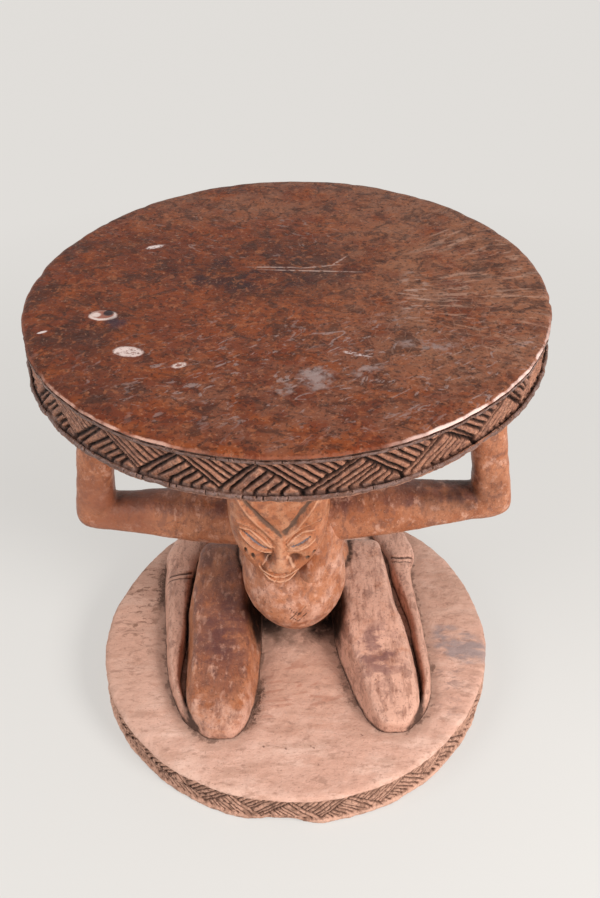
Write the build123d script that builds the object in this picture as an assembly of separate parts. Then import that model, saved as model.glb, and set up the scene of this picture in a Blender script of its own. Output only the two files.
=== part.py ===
from build123d import *

import os
from math import atan, degrees, pi

# Carved wooden stool. A kneeling figure on a round base carries a round seat on its head and on
# both raised hands. The real stool is cut from one block, so its members meet face to face along
# the lines where the carver turned from one form to the next, with no pegs, glue or screws.
#
# The origin is the centre of the underside of the base. Z is up, the figure faces -Y, and X runs
# to the figure's left hand. All sizes are in millimetres, and all turns in degrees. A figure name
# that ends in share or shares is a part of the size that it follows.

# Seat: a round plank, hollowed a little on top, with a carved border round its edge
seat_diameter = 323.0
seat_thickness = 30.0
seat_border_width = 15.0
seat_dish_depth = 3.5
seat_edge_round = 3.0
seat_lip_height = 5.5
seat_bead_height = 5.5
seat_bead_proud = 2.8
seat_frieze_depth = 1.2

# Base: a plank of nearly the same size, flat on top, with a carved border round its edge
base_diameter = 311.0
base_thickness = 31.0
base_border_width = 13.0
base_edge_round = 2.0
base_lip_height = 4.0
base_bead_height = 5.0
base_bead_proud = 0.5
base_frieze_depth = 1.2

# Frieze: a zigzag line cut round each border, which parts it into triangles
frieze_triangle_pitch = 48.0
frieze_groove_width = 2.4
frieze_groove_depth = 1.6
seat_frieze_turn = -3.5
base_frieze_turn = 14.0

# Figure: all heights below are measured from the top of the base
figure_height = 289.0

# Head: a mask-like face that tapers to a small chin, and a high crown under the seat
chin_height = 121.0
head_width = 68.0
head_shift = -7.0
head_turn = -3.0
face_reach = 62.0
head_back_reach = 27.0
head_corner_share = 0.84

# Head outline from chin to crown: height, half width, front reach, back reach
head_shares = (
    (0.00, 0.22, 0.90, -1.20),
    (0.11, 0.56, 1.00, -0.10),
    (0.29, 0.92, 0.98, 0.84),
    (0.60, 1.00, 0.86, 1.00),
    (1.00, 0.84, 0.52, 0.80),
)

# Face: low relief on the mask
nose_width = 21.0
nose_length = 33.0
nose_proud = 7.5
nose_tip_height = 134.0
nose_bridge_width = 6.0
nose_bridge_proud = 3.0
eye_width = 28.0
eye_height = 11.0
eye_proud = 3.0
eye_slit_length = 20.0
eye_slit_height = 1.6
eye_tilt = 44.0
eye_spacing = 30.0
eye_level = 165.0
brow_length = 46.0
brow_thickness = 4.5
brow_proud = 2.5
brow_tilt = 46.0
brow_spacing = 33.0
brow_level = 181.0
mouth_width = 28.0
lip_thickness = 5.0
lip_proud = 3.5
mouth_level = 127.0

# Coiffure and ears: hair dressed round the back of the head, with an ear before it on each side
coiffure_width = 80.0
coiffure_front_reach = 20.0
coiffure_back_reach = 34.0
ear_width = 11.0
ear_height = 26.0
ear_proud = 5.0
ear_reach = 17.0
ear_level_share = 0.3392857

# Coiffure outline from its lower edge to the seat: height, width, depth
coiffure_shares = (
    (0.00, 0.74, 0.76),
    (0.30, 0.94, 0.95),
    (0.65, 1.00, 1.00),
    (1.00, 0.92, 0.94),
)

# Neck: behind the chin, from the chest up into the head, tucked in behind the lower edge of the hair
neck_radius = 17.0
neck_show = 34.0
neck_back_reach = 5.0
neck_tuck = 37.0

# Torso: a round belly that narrows to the base, and a short chest
torso_height = 134.0
torso_width = 82.0
belly_reach = 41.0
torso_back_reach = 52.0

# Torso outline from the base up: height, half width, front reach, back reach
torso_shares = (
    (0.00, 0.40, -0.10, 1.10),
    (0.14, 0.66, 0.28, 1.12),
    (0.32, 0.94, 0.86, 1.00),
    (0.48, 1.00, 0.98, 0.86),
    (0.66, 0.92, 0.74, 0.72),
    (0.84, 0.96, 0.48, 0.66),
    (1.00, 0.62, 0.30, 0.54),
)

# Breasts: two short cones with round tips, under the chin
breast_length = 30.0
breast_root_radius = 14.0
breast_tip_radius = 8.5
breast_root_spacing = 34.0
breast_tip_spacing = 26.0
breast_root_drop = 16.0
breast_droop = 7.0
breast_root_reach = 10.0

# Buttocks: two rounds that sit on the base behind the torso
buttock_width = 58.0
buttock_depth = 62.0
buttock_height = 68.0
buttock_spacing = 44.0
buttock_setback = 52.0
buttock_sink = 12.0

# Arms: upper arms held straight out, forearms raised to the seat, hands flat under it
shoulder_radius = 16.5
shoulder_reach = 26.0
shoulder_drop = 21.0
arm_shift = 2.0
arm_setback = 5.0
elbow_radius = 13.5
elbow_reach = 143.5
elbow_height = 131.0
wrist_radius = 12.5
hand_inset = 36.0
hand_length = 34.0
hand_width = 33.0
hand_thickness = 17.0
hand_end_round = 5.0
finger_groove_width = 1.6
finger_groove_depth = 1.6
finger_count = 4

# Legs: thighs run forward along the base, lower legs fold back outside them. The lower leg is a
# little shorter than the thigh, and the heel stands a little behind the thigh's end.
thigh_length = 172.0
thigh_width = 61.0
thigh_top_width = 41.0
thigh_height = 44.0
thigh_edge_round = 6.0
knee_reach = 99.0
shin_shortfall = 14.0
lower_leg_width = 24.0
lower_leg_height = 15.0
lower_leg_edge_round = 4.0
heel_clearance = 3.0
foot_length = 46.0
foot_width = 25.0
foot_height = 16.0
foot_turn = 24.0

# The two legs are not alike: how far each stands from the middle at hip, knee, shin and ankle
left_hip_reach = 54.0
left_knee_reach = 73.0
left_shin_reach = 96.0
left_ankle_reach = 91.0
right_hip_reach = 60.0
right_knee_reach = 57.0
right_shin_reach = 99.0
right_ankle_reach = 98.0

# Thigh outline from hip to knee: distance along, width, height
thigh_shares = (
    (0.00, 0.90, 1.00),
    (0.30, 0.98, 0.90),
    (0.60, 1.00, 0.68),
    (0.80, 0.96, 0.52),
    (0.90, 0.82, 0.44),
    (0.96, 0.62, 0.37),
    (1.00, 0.30, 0.28),
)

# Lower leg outline from ankle to knee: distance along, sideways run, width, height.
# The run is 0 at the ankle's distance from the middle, 1 at the shin's, and 2 at the knee's.
lower_leg_shares = (
    (0.00, 0.00, 0.70, 0.86),
    (0.25, 0.60, 0.92, 1.00),
    (0.55, 1.00, 1.00, 1.00),
    (0.82, 1.22, 0.94, 0.86),
    (1.00, 1.60, 0.60, 0.60),
)

# Overrun: how far a cutting tool passes its work
overrun = 5.0

seat_radius = seat_diameter / 2
base_radius = base_diameter / 2
base_top = base_thickness
seat_underside = base_top + figure_height
head_height = figure_height - chin_height
ear_level = chin_height + ear_level_share * head_height
coiffure_bottom_height = torso_height + neck_show
wrist_reach = seat_radius - hand_inset
lower_leg_length = thigh_length - shin_shortfall
ankle_setback = thigh_length - knee_reach + heel_clearance
figure_left, figure_right = 1, -1
legs = {
    "left": (figure_left, left_hip_reach, left_knee_reach, left_shin_reach, left_ankle_reach),
    "right": (figure_right, right_hip_reach, right_knee_reach, right_shin_reach, right_ankle_reach),
}


def border_ring(radius, width, thickness, lip, bead, bead_proud, frieze_depth, edge_round):
    """A ring whose outer face has a rounded lip, a sunk frieze and a half-round bead below."""
    inner = radius - width
    frieze = radius - frieze_depth
    lip_bottom = thickness - lip
    bead_start = radius + bead_proud - bead / 2
    with BuildPart() as ring:
        with BuildSketch(Plane.XZ):
            with BuildLine():
                Line((inner, 0), (bead_start, 0))
                RadiusArc((bead_start, 0), (bead_start, bead), -bead / 2)
                Polyline(
                    (bead_start, bead),
                    (frieze, bead),
                    (frieze, lip_bottom),
                    (radius, lip_bottom),
                    (radius, thickness - edge_round),
                )
                RadiusArc((radius, thickness - edge_round), (radius - edge_round, thickness), -edge_round)
                Polyline((radius - edge_round, thickness), (inner, thickness), (inner, 0))
            make_face()
        revolve(axis=Axis.Z)
    return ring.part


def zigzag_grooves(radius, bottom, top, turn):
    """Cutters for a zigzag line round a frieze. A top corner lies at the given turn from the front."""
    count = round(2 * pi * radius / frieze_triangle_pitch)
    half_run = pi * radius / count
    rise = top - bottom
    slope = degrees(atan(half_run / rise))
    length = (half_run**2 + rise**2) ** 0.5
    bar = Box(frieze_groove_depth + overrun, frieze_groove_width, length)
    middle = radius + (overrun - frieze_groove_depth) / 2
    front = -90
    grooves = []
    for number in range(count):
        for lean in (1, -1):
            angle = front + turn + (number + lean / 4) * 360 / count
            grooves.append(Rot(Z=angle) * Pos(middle, 0, (bottom + top) / 2) * Rot(X=lean * slope) * bar)
    return grooves


def seat_pieces():
    """The seat's plank and its border."""
    slab_radius = seat_radius - seat_border_width
    dish_radius = (slab_radius**2 + seat_dish_depth**2) / (2 * seat_dish_depth)
    slab = Cylinder(slab_radius, seat_thickness, align=(Align.CENTER, Align.CENTER, Align.MIN))
    slab -= Pos(0, 0, seat_thickness - seat_dish_depth + dish_radius) * Sphere(dish_radius)
    border = border_ring(
        seat_radius,
        seat_border_width,
        seat_thickness,
        seat_lip_height,
        seat_bead_height,
        seat_bead_proud,
        seat_frieze_depth,
        seat_edge_round,
    )
    border -= zigzag_grooves(
        seat_radius - seat_frieze_depth,
        seat_bead_height,
        seat_thickness - seat_lip_height,
        seat_frieze_turn,
    )
    place = Pos(0, 0, seat_underside)
    return {"seat_slab": place * slab, "seat_border": place * border}


def base_pieces():
    """The base's plank and its border."""
    slab_radius = base_radius - base_border_width
    slab = Cylinder(slab_radius, base_thickness, align=(Align.CENTER, Align.CENTER, Align.MIN))
    border = border_ring(
        base_radius,
        base_border_width,
        base_thickness,
        base_lip_height,
        base_bead_height,
        base_bead_proud,
        base_frieze_depth,
        base_edge_round,
    )
    border -= zigzag_grooves(
        base_radius - base_frieze_depth,
        base_bead_height,
        base_thickness - base_lip_height,
        base_frieze_turn,
    )
    return {"base_slab": slab, "base_border": border}


def turned_head(shape):
    """Puts a shape made about the head's own axis in its place on the figure."""
    return Pos(head_shift, 0, base_top) * Rot(Z=head_turn) * shape


def plain_head():
    """The head before its face is cut, about its own axis."""
    sections = []
    for height_share, width_share, front_share, back_share in head_shares:
        width = width_share * head_width
        front = front_share * face_reach
        back = back_share * head_back_reach
        depth = front + back
        corner = head_corner_share * min(width, depth) / 2
        level = chin_height + height_share * head_height
        sections.append(Pos(0, (back - front) / 2, level) * RectangleRounded(width, depth, corner))
    return loft(sections)


def coiffure_shape():
    """Hair round the back of the head, about the head's own axis."""
    height = figure_height - coiffure_bottom_height
    depth = coiffure_front_reach + coiffure_back_reach
    middle = (coiffure_back_reach - coiffure_front_reach) / 2
    sections = []
    for height_share, width_share, depth_share in coiffure_shares:
        section = Ellipse(width_share * coiffure_width / 2, depth_share * depth / 2)
        sections.append(Pos(0, middle, coiffure_bottom_height + height_share * height) * section)
    return loft(sections)


def face_reach_at(height):
    """How far the face stands before the head's axis at a height above the base's top."""
    share = (height - chin_height) / head_height
    for low, high in zip(head_shares, head_shares[1:]):
        if share <= high[0]:
            part = (share - low[0]) / (high[0] - low[0])
            return face_reach * (low[2] + part * (high[2] - low[2]))
    return face_reach * head_shares[-1][2]


def oval(width, depth, height):
    """A solid with three round outlines, as long each way as asked."""
    return scale(Sphere(width / 2), by=(1, depth / width, height / width))


def head_pieces():
    """The head with its low relief, the hair behind it, and the ears."""
    head = plain_head()
    nose_sections = []
    for rise, width, proud in (
        (0, nose_width, nose_proud),
        (nose_length / 3, (nose_width + nose_bridge_width) / 2, (nose_proud + nose_bridge_proud) / 2),
        (nose_length, nose_bridge_width, nose_bridge_proud),
    ):
        height = nose_tip_height + rise
        nose_sections.append(Pos(0, -face_reach_at(height), height) * Ellipse(width / 2, proud))
    head += loft(nose_sections)
    for side in (figure_left, figure_right):
        brow_place = Pos(side * brow_spacing / 2, -face_reach_at(brow_level), brow_level)
        head += brow_place * Rot(Y=-side * brow_tilt) * oval(brow_length, 2 * brow_proud, brow_thickness)
        eye_place = Pos(side * eye_spacing / 2, -face_reach_at(eye_level), eye_level) * Rot(Y=-side * eye_tilt)
        head += eye_place * oval(eye_width, 2 * eye_proud, eye_height)
        head -= eye_place * Box(eye_slit_length, 4 * eye_proud, eye_slit_height)
    for rise in (lip_thickness / 2, -lip_thickness / 2):
        lip_place = Pos(0, -face_reach_at(mouth_level), mouth_level + rise)
        head += lip_place * oval(mouth_width, 2 * lip_proud, lip_thickness)
    pieces = {"head": turned_head(head), "coiffure": turned_head(coiffure_shape())}
    for name, (side, *_) in legs.items():
        ear = Pos(side * head_width / 2, -ear_reach, ear_level) * oval(2 * ear_proud, ear_width, ear_height)
        pieces[f"{name}_ear"] = turned_head(ear)
    return pieces


def limb(start, end, start_radius, end_radius):
    """A straight round limb from one point to another."""
    direction = (Vector(*end) - Vector(*start)).normalized()
    return loft(
        [
            Plane(origin=start, z_dir=direction) * Circle(start_radius),
            Plane(origin=end, z_dir=direction) * Circle(end_radius),
        ]
    )


def torso_piece():
    """The trunk, from the base to the shoulders."""
    sections = []
    for height_share, width_share, front_share, back_share in torso_shares:
        front = front_share * belly_reach
        back = back_share * torso_back_reach
        level = base_top + height_share * torso_height
        section = Ellipse(width_share * torso_width / 2, (back + front) / 2)
        sections.append(Pos(0, (back - front) / 2, level) * section)
    return loft(sections)


def neck_piece():
    """The neck, from inside the chest to inside the head."""
    foot = (head_shift / 2, neck_back_reach, base_top + torso_height - shoulder_drop)
    top = (head_shift, neck_back_reach, base_top + coiffure_bottom_height + neck_tuck)
    return limb(foot, top, neck_radius, neck_radius)


def trunk_sides(side):
    """One breast and one buttock."""
    root_height = base_top + torso_height - breast_root_drop
    root = (side * breast_root_spacing / 2, -breast_root_reach, root_height)
    tip = (side * breast_tip_spacing / 2, -breast_root_reach - breast_length, root_height - breast_droop)
    breast = limb(root, tip, breast_root_radius, breast_tip_radius) + Pos(tip) * Sphere(breast_tip_radius)
    buttock_middle = base_top + buttock_height / 2 - buttock_sink
    buttock = Pos(side * buttock_spacing / 2, buttock_setback, buttock_middle) * oval(
        buttock_width, buttock_depth, buttock_height
    )
    return {"breast": breast, "buttock": buttock}


def arm_pieces(side):
    """One arm: upper arm with its elbow, forearm, and a hand flat under the seat."""
    shoulder = (side * shoulder_reach, arm_setback, base_top + torso_height - shoulder_drop)
    elbow = (side * elbow_reach + arm_shift, arm_setback, base_top + elbow_height)
    wrist = (side * wrist_reach + arm_shift, arm_setback, seat_underside - hand_length)
    upper_arm = limb(shoulder, elbow, shoulder_radius, elbow_radius) + Pos(elbow) * Sphere(elbow_radius)
    forearm = limb(elbow, wrist, elbow_radius, wrist_radius)
    finger_ends = Pos(wrist[0], wrist[1], seat_underside) * RectangleRounded(
        hand_thickness, hand_width, hand_end_round
    )
    hand = loft([Pos(wrist) * Circle(wrist_radius), finger_ends])
    groove = Box(2 * finger_groove_depth, finger_groove_width, hand_length)
    for number in range(1, finger_count):
        across = arm_setback + (number / finger_count - 1 / 2) * hand_width
        hand -= Pos(wrist[0] + side * hand_thickness / 2, across, seat_underside) * groove
    return {"upper_arm": upper_arm, "forearm": forearm, "hand": hand}


def lying_section(middle, along, width, top_width, height, edge_round):
    """A cut across a leg that lies on the base: wide below, narrow above, with round shoulders."""
    outline = make_face(
        Polyline(
            (-width / 2, 0),
            (width / 2, 0),
            (top_width / 2, height),
            (-top_width / 2, height),
            close=True,
        )
    )
    shoulders = outline.vertices().group_by(Axis.Y)[-1]
    outline = fillet(shoulders, min(edge_round, height / 2, top_width / 4))
    return Plane(origin=(middle, along, base_top), x_dir=(1, 0, 0), z_dir=(0, -1, 0)) * outline


def leg_pieces(side, hip_reach, leg_knee_reach, shin_reach, ankle_reach):
    """One folded leg: the thigh, the lower leg outside it, and the foot behind."""
    thigh_sections = []
    for along_share, width_share, height_share in thigh_shares:
        middle = side * (hip_reach + along_share * (leg_knee_reach - hip_reach))
        along = thigh_length - knee_reach - along_share * thigh_length
        thigh_sections.append(
            lying_section(
                middle,
                along,
                width_share * thigh_width,
                width_share * thigh_top_width,
                height_share * thigh_height,
                thigh_edge_round,
            )
        )
    leg_sections = []
    for along_share, run_share, width_share, height_share in lower_leg_shares:
        to_shin = min(run_share, 1) * (shin_reach - ankle_reach)
        to_knee = max(run_share - 1, 0) * (leg_knee_reach - shin_reach)
        width = width_share * lower_leg_width
        leg_sections.append(
            lying_section(
                side * (ankle_reach + to_shin + to_knee),
                ankle_setback - along_share * lower_leg_length,
                width,
                width / 2,
                height_share * lower_leg_height,
                lower_leg_edge_round,
            )
        )
    foot = Pos(side * ankle_reach, ankle_setback, base_top) * Rot(Z=side * foot_turn)
    foot *= Pos(0, foot_length / 2 - foot_width / 2, 0) * oval(foot_width, foot_length, 2 * foot_height)
    return {"thigh": loft(thigh_sections), "lower_leg": loft(leg_sections), "foot": foot}


def figure_pieces():
    """All members of the figure, held between base and seat. Each gives way to those before it."""
    members = {"torso": torso_piece(), **head_pieces(), "neck": neck_piece()}
    for name, (side, *reaches) in legs.items():
        parts = {**trunk_sides(side), **arm_pieces(side), **leg_pieces(side, *reaches)}
        members.update({f"{name}_{part}": shape for part, shape in parts.items()})
    space = Pos(0, 0, base_top) * Box(
        seat_diameter, seat_diameter, figure_height, align=(Align.CENTER, Align.CENTER, Align.MIN)
    )
    carved = {}
    for name, member in members.items():
        member &= space
        extent = member.bounding_box()
        for other, other_extent in carved.values():
            if extent.overlaps(other_extent):
                member -= other
        carved[name] = (member, member.bounding_box())
    return {name: member for name, (member, _) in carved.items()}


def main():
    os.makedirs("parts", exist_ok=True)
    for name, piece in {**base_pieces(), **seat_pieces(), **figure_pieces()}.items():
        solids = piece.solids()
        export_step(solids[0] if len(solids) == 1 else Compound(children=solids), f"parts/{name}.step")


main()
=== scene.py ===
import math
from functools import partial

import bmesh
import bpy
import numpy as np
from mathutils import Matrix, Vector
from mathutils.bvhtree import BVHTree


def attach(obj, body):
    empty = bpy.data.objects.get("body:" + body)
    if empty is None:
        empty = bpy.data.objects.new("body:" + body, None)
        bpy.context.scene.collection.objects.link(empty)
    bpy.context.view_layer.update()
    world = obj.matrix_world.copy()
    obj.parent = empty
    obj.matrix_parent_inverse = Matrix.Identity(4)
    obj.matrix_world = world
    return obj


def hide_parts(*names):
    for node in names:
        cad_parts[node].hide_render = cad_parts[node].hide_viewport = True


# Carved wooden stool: seat, base and kneeling figure, cut from one block of hardwood.
# Shapes and the sizes in the finishes are written in millimetres, with the origin under the middle
# of the base, and become metres where they are used. The figure faces -Y. Angles round the seat
# and base start at the front and run towards +X. Left and right are the figure's own.

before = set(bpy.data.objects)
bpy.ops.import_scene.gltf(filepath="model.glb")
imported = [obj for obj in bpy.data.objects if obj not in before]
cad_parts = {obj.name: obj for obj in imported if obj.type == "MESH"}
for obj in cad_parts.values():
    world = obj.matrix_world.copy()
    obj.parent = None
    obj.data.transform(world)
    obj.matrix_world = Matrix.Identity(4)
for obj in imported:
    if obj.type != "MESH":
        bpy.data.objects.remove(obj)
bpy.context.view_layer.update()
metre = 0.001
stool = {"top": 350, "widest": 164.2}
print("frame loaded:", len(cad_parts), "nodes")


# Small tools
def linear(hexColour):
    # an sRGB hex value as the linear colour that the shaders work in
    channels = [int(hexColour[at:at + 2], 16) / 255 for at in (1, 3, 5)]
    return (*[c / 12.92 if c <= 0.04045 else ((c + 0.055) / 1.055) ** 2.4 for c in channels], 1)


def addNode(tree, kind, inputs=None, **settings):
    # one node with its settings; an input is a number, a colour or another node's socket. A kind
    # that doesn't start with GeometryNode or NodeGroup is one of the ShaderNode kinds
    node = tree.nodes.new(kind if kind.startswith(("GeometryNode", "NodeGroup")) else "ShaderNode" + kind)
    node.location.x = 180 * len(tree.nodes)
    for name, value in settings.items():
        setattr(node, name, value)
    for key, value in (inputs or {}).items():
        if isinstance(value, bpy.types.NodeSocket):
            tree.links.new(value, node.inputs[key])
        else:
            node.inputs[key].default_value = value
    return node.outputs


def makeMesh(name, points, faces):
    # points in millimetres; faces end up pointing outwards
    mesh = bpy.data.meshes.new(name)
    mesh.from_pydata((np.asarray(points) * metre).tolist(), [], faces)
    work = bmesh.new()
    work.from_mesh(mesh)
    bmesh.ops.remove_doubles(work, verts=work.verts, dist=0.00001)
    bmesh.ops.recalc_face_normals(work, faces=work.faces)
    work.to_mesh(mesh)
    work.free()
    piece = bpy.data.objects.new(name, mesh)
    bpy.context.scene.collection.objects.link(piece)
    return piece


def curveThrough(knots, values, at):
    # a smooth curve through the knots, for each column of values
    knots, values, at = np.asarray(knots, float), np.asarray(values, float), np.asarray(at, float)
    if knots[0] > knots[-1]:
        knots, values = knots[::-1], values[::-1]
    gaps = np.diff(knots)[:, None]
    slopes = np.diff(values, axis=0) / gaps
    tangents = np.vstack([slopes[:1], (slopes[1:] + slopes[:-1]) / 2, slopes[-1:]])
    where = np.clip(np.searchsorted(knots, at) - 1, 0, len(knots) - 2)
    step = gaps[where]
    t = ((at - knots[where])[:, None]) / step
    a, b = values[where], values[where + 1]
    m, n = tangents[where] * step, tangents[where + 1] * step
    fromStart = (2 * t**3 - 3 * t**2 + 1) * a + (t**3 - 2 * t**2 + t) * m
    return fromStart + (3 * t**2 - 2 * t**3) * b + (t**3 - t**2) * n


def sampled(points, step):
    # a line of straight runs, cut into steps no longer than asked
    line = [points[0]]
    for start, end in zip(points, points[1:]):
        count = max(1, math.ceil(math.dist(start, end) / step))
        way = np.array(end) - np.array(start)
        line += [tuple(np.array(start) + way * k / count) for k in range(1, count + 1)]
    return line


def skin(rings):
    # closed outlines of equal length, joined one to the next and closed at both ends
    count = len(rings[0])
    points = [p for ring in rings for p in ring]
    faces = []
    for start in range(0, count * (len(rings) - 1), count):
        for k in range(count):
            after = (k + 1) % count
            faces.append((start + k, start + after, start + count + after, start + count + k))
    for ring, start in ((rings[0], 0), (rings[-1], (len(rings) - 1) * count)):
        points.append(np.mean(ring, axis=0))
        faces += [(start + k, start + (k + 1) % count, len(points) - 1) for k in range(count)]
    return points, faces


def ovalRing(middle, across, along, halfAcross, halfAlong, power, count=64):
    # an oval in the plane of two directions; a higher power makes it squarer
    turn = np.linspace(0, 2 * math.pi, count, endpoint=False)
    c, s = np.cos(turn), np.sin(turn)
    u = halfAcross * np.sign(c) * np.abs(c) ** (2 / power)
    v = halfAlong * np.sign(s) * np.abs(s) ** (2 / power)
    return np.asarray(middle) + np.outer(u, across) + np.outer(v, along)


def limbSkin(stations, across, power=2.3):
    # a limb along a path; each station is x, y, z, half size along `across`, half size square to it
    stations = np.asarray(stations, float)
    run = np.concatenate([[0], np.cumsum(np.linalg.norm(np.diff(stations[:, :3], axis=0), axis=1))])
    fine = np.linspace(0, run[-1], max(12, int(run[-1] / 3)))
    rows = curveThrough(run, stations, fine)
    rings = []
    for k, row in enumerate(rows):
        ahead = rows[min(k + 1, len(rows) - 1), :3] - rows[max(k - 1, 0), :3]
        ahead /= np.linalg.norm(ahead)
        side = np.cross(ahead, across)
        side /= np.linalg.norm(side)
        rings.append(ovalRing(row[:3], across, side, row[3], row[4], power))
    return skin(rings)


def standingSkin(rows, power=2.2, step=3.0, count=72):
    # a standing form; each row is height, middle x, half width, front y, back y
    rows = np.asarray(rows, float)
    fine = np.linspace(rows[0, 0], rows[-1, 0], int(abs(rows[-1, 0] - rows[0, 0]) / step) + 2)
    rings = []
    for z, (x, half, front, back) in zip(fine, curveThrough(rows[:, 0], rows[:, 1:], fine)):
        middle = (x, (front + back) / 2, z)
        rings.append(ovalRing(middle, (1, 0, 0), (0, 1, 0), half, (back - front) / 2, power, count))
    return skin(rings)


def joined(name, skins):
    # several closed skins as one mesh, for the remesher to make one body of
    points, faces = [], []
    for skinPoints, skinFaces in skins:
        faces += [tuple(k + len(points) for k in face) for face in skinFaces]
        points += list(skinPoints)
    return makeMesh(name, points, faces)


def settle(piece):
    # the modifiers' result becomes the piece's plain mesh
    graph = bpy.context.evaluated_depsgraph_get()
    shown = piece.evaluated_get(graph)
    mesh = bpy.data.meshes.new_from_object(shown, preserve_all_data_layers=True, depsgraph=graph)
    piece.modifiers.clear()
    old = piece.data
    piece.data = mesh
    bpy.data.meshes.remove(old)
    mesh.name = piece.name


def carvedBody(name, skins, grain, smoothing):
    # the skins become one body, as the carver left it before the finer cuts
    piece = joined(name, skins)
    remesh = piece.modifiers.new("oneBody", "REMESH")
    remesh.mode = "VOXEL"
    remesh.voxel_size = grain * metre
    smooth = piece.modifiers.new("soften", "SMOOTH")
    smooth.factor = 0.6
    smooth.iterations = smoothing
    settle(piece)
    return piece


def finished(piece, nodes):
    # shading and body of a finished piece; the parts that it replaces are hidden
    piece.data.shade_smooth()
    piece.data.set_sharp_from_angle(angle=math.radians(75))
    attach(piece, "root")
    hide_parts(*nodes)
    triangles = sum(len(face.vertices) - 2 for face in piece.data.polygons)
    print(piece.name, "done:", triangles, "triangles")


# Knife and adze work
def carvingTree():
    # cuts V grooves along given lines, adds adze facets and grit, and marks dirt and painted shade near its
    # neighbours
    tree = bpy.data.node_groups.new("knifeCarving", "GeometryNodeTree")
    panel = tree.interface
    panel.new_socket("Geometry", in_out="INPUT", socket_type="NodeSocketGeometry")
    for label, kind, value in (
        ("cutLines", "Object", None),
        ("neighbours", "Object", None),
        ("cutWidth", "Float", 0.002),
        ("cutDepth", "Float", 0.001),
        ("wander", "Float", 0.0005),
        ("wanderSize", "Float", 0.006),
        ("facetSize", "Float", 0.012),
        ("facetDepth", "Float", 0.0004),
        ("gritSize", "Float", 0.002),
        ("gritDepth", "Float", 0.0001),
        ("dirtReach", "Float", 0.006),
        ("seed", "Float", 1.0),
        ("finish", "Material", None),
    ):
        socket = panel.new_socket(label, in_out="INPUT", socket_type="NodeSocket" + kind)
        if value is not None:
            socket.default_value = value
    panel.new_socket("Geometry", in_out="OUTPUT", socket_type="NodeSocketGeometry")
    add = partial(addNode, tree)
    given = add("NodeGroupInput")
    place = add("GeometryNodeInputPosition")[0]
    normal = add("GeometryNodeInputNormal")[0]

    noises = []
    for size, shift, detail in (("wanderSize", 0, 2), ("wanderSize", 7, 2), ("gritSize", 3, 3)):
        scale = add("Math", {0: 1.0, 1: given[size]}, operation="DIVIDE")[0]
        seed = add("Math", {0: given["seed"], 1: shift}, operation="ADD")[0]
        values = {"Vector": place, "W": seed, "Scale": scale, "Detail": detail}
        noises.append(add("TexNoise", values, noise_dimensions="4D"))
    driftNoise, depthNoise, gritNoise = noises

    # the knife wanders a little off its line
    drift = add("VectorMath", {0: driftNoise["Color"], 1: (0.5, 0.5, 0.5)}, operation="SUBTRACT")[0]
    drift = add("VectorMath", {0: drift, "Scale": given["wander"]}, operation="SCALE")[0]
    knife = add("VectorMath", {0: place, 1: drift}, operation="ADD")[0]
    lines = add("GeometryNodeObjectInfo", {0: given["cutLines"]})["Geometry"]
    values = {0: lines, "Sample Position": knife}
    away = add("GeometryNodeProximity", values, target_element="EDGES")["Distance"]
    nearest = add("GeometryNodeSampleNearest", {0: lines, 1: knife}, domain="EDGE")[0]
    strength = add("GeometryNodeInputNamedAttribute", {0: "strength"})[0]
    strength = add("GeometryNodeSampleIndex", {0: lines, 1: strength, 2: nearest}, domain="EDGE")[0]
    half = add("Math", {0: given["cutWidth"], 1: 0.5}, operation="MULTIPLY")[0]
    half = add("Math", {0: half, 1: strength}, operation="MULTIPLY")[0]
    cut = add("MapRange", {0: away, 1: 0.0, 2: half, 3: 1.0, 4: 0.0})[0]
    deep = add("Math", {0: given["cutDepth"], 1: strength}, operation="MULTIPLY")[0]
    uneven = add("MapRange", {0: depthNoise["Fac"], 1: 0.3, 2: 0.7, 3: 0.6, 4: 1.3})[0]
    deep = add("Math", {0: deep, 1: uneven}, operation="MULTIPLY")[0]
    deep = add("Math", {0: deep, 1: cut}, operation="MULTIPLY")[0]

    # adze facets: shallow scoops with soft ridges between them
    scale = add("Math", {0: 1.0, 1: given["facetSize"]}, operation="DIVIDE")[0]
    bent = add("VectorMath", {0: drift, 1: place}, operation="ADD")[0]
    values = {"Vector": bent, "W": given["seed"], "Scale": scale, "Smoothness": 0.25}
    scoop = add("TexVoronoi", values, voronoi_dimensions="4D", feature="SMOOTH_F1")["Distance"]
    scoop = add("Math", {0: scoop, 1: 0.55}, operation="SUBTRACT")[0]
    scoop = add("Math", {0: scoop, 1: given["facetDepth"]}, operation="MULTIPLY")[0]
    grit = add("Math", {0: gritNoise["Fac"], 1: 0.5}, operation="SUBTRACT")[0]
    grit = add("Math", {0: grit, 1: given["gritDepth"]}, operation="MULTIPLY")[0]
    move = add("Math", {0: scoop, 1: grit}, operation="ADD")[0]
    move = add("Math", {0: move, 1: deep}, operation="SUBTRACT")[0]
    offset = add("VectorMath", {0: normal, "Scale": move}, operation="SCALE")[0]

    # dirt and painted shade: a mask that is full where another form meets this one
    others = add("GeometryNodeObjectInfo", {0: given["neighbours"]})["Geometry"]
    gap = add("GeometryNodeProximity", {0: others, "Sample Position": place})["Distance"]
    values = {0: gap, 1: 0.0, 2: given["dirtReach"], 3: 1.0, 4: 0.0}
    dirt = add("MapRange", values, interpolation_type="SMOOTHSTEP")[0]

    shape = given[0]
    for name, value in (("cut", cut), ("dirt", dirt)):
        shape = add("GeometryNodeStoreNamedAttribute", {0: shape, "Name": name, "Value": value})[0]
    shape = add("GeometryNodeSetPosition", {0: shape, "Offset": offset})[0]
    shape = add("GeometryNodeRealizeInstances", {0: shape})[0]
    shape = add("GeometryNodeSetMaterial", {0: shape, "Material": given["finish"]})[0]
    add("NodeGroupOutput", {0: shape})
    return tree


knifeCarving = carvingTree()


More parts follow.
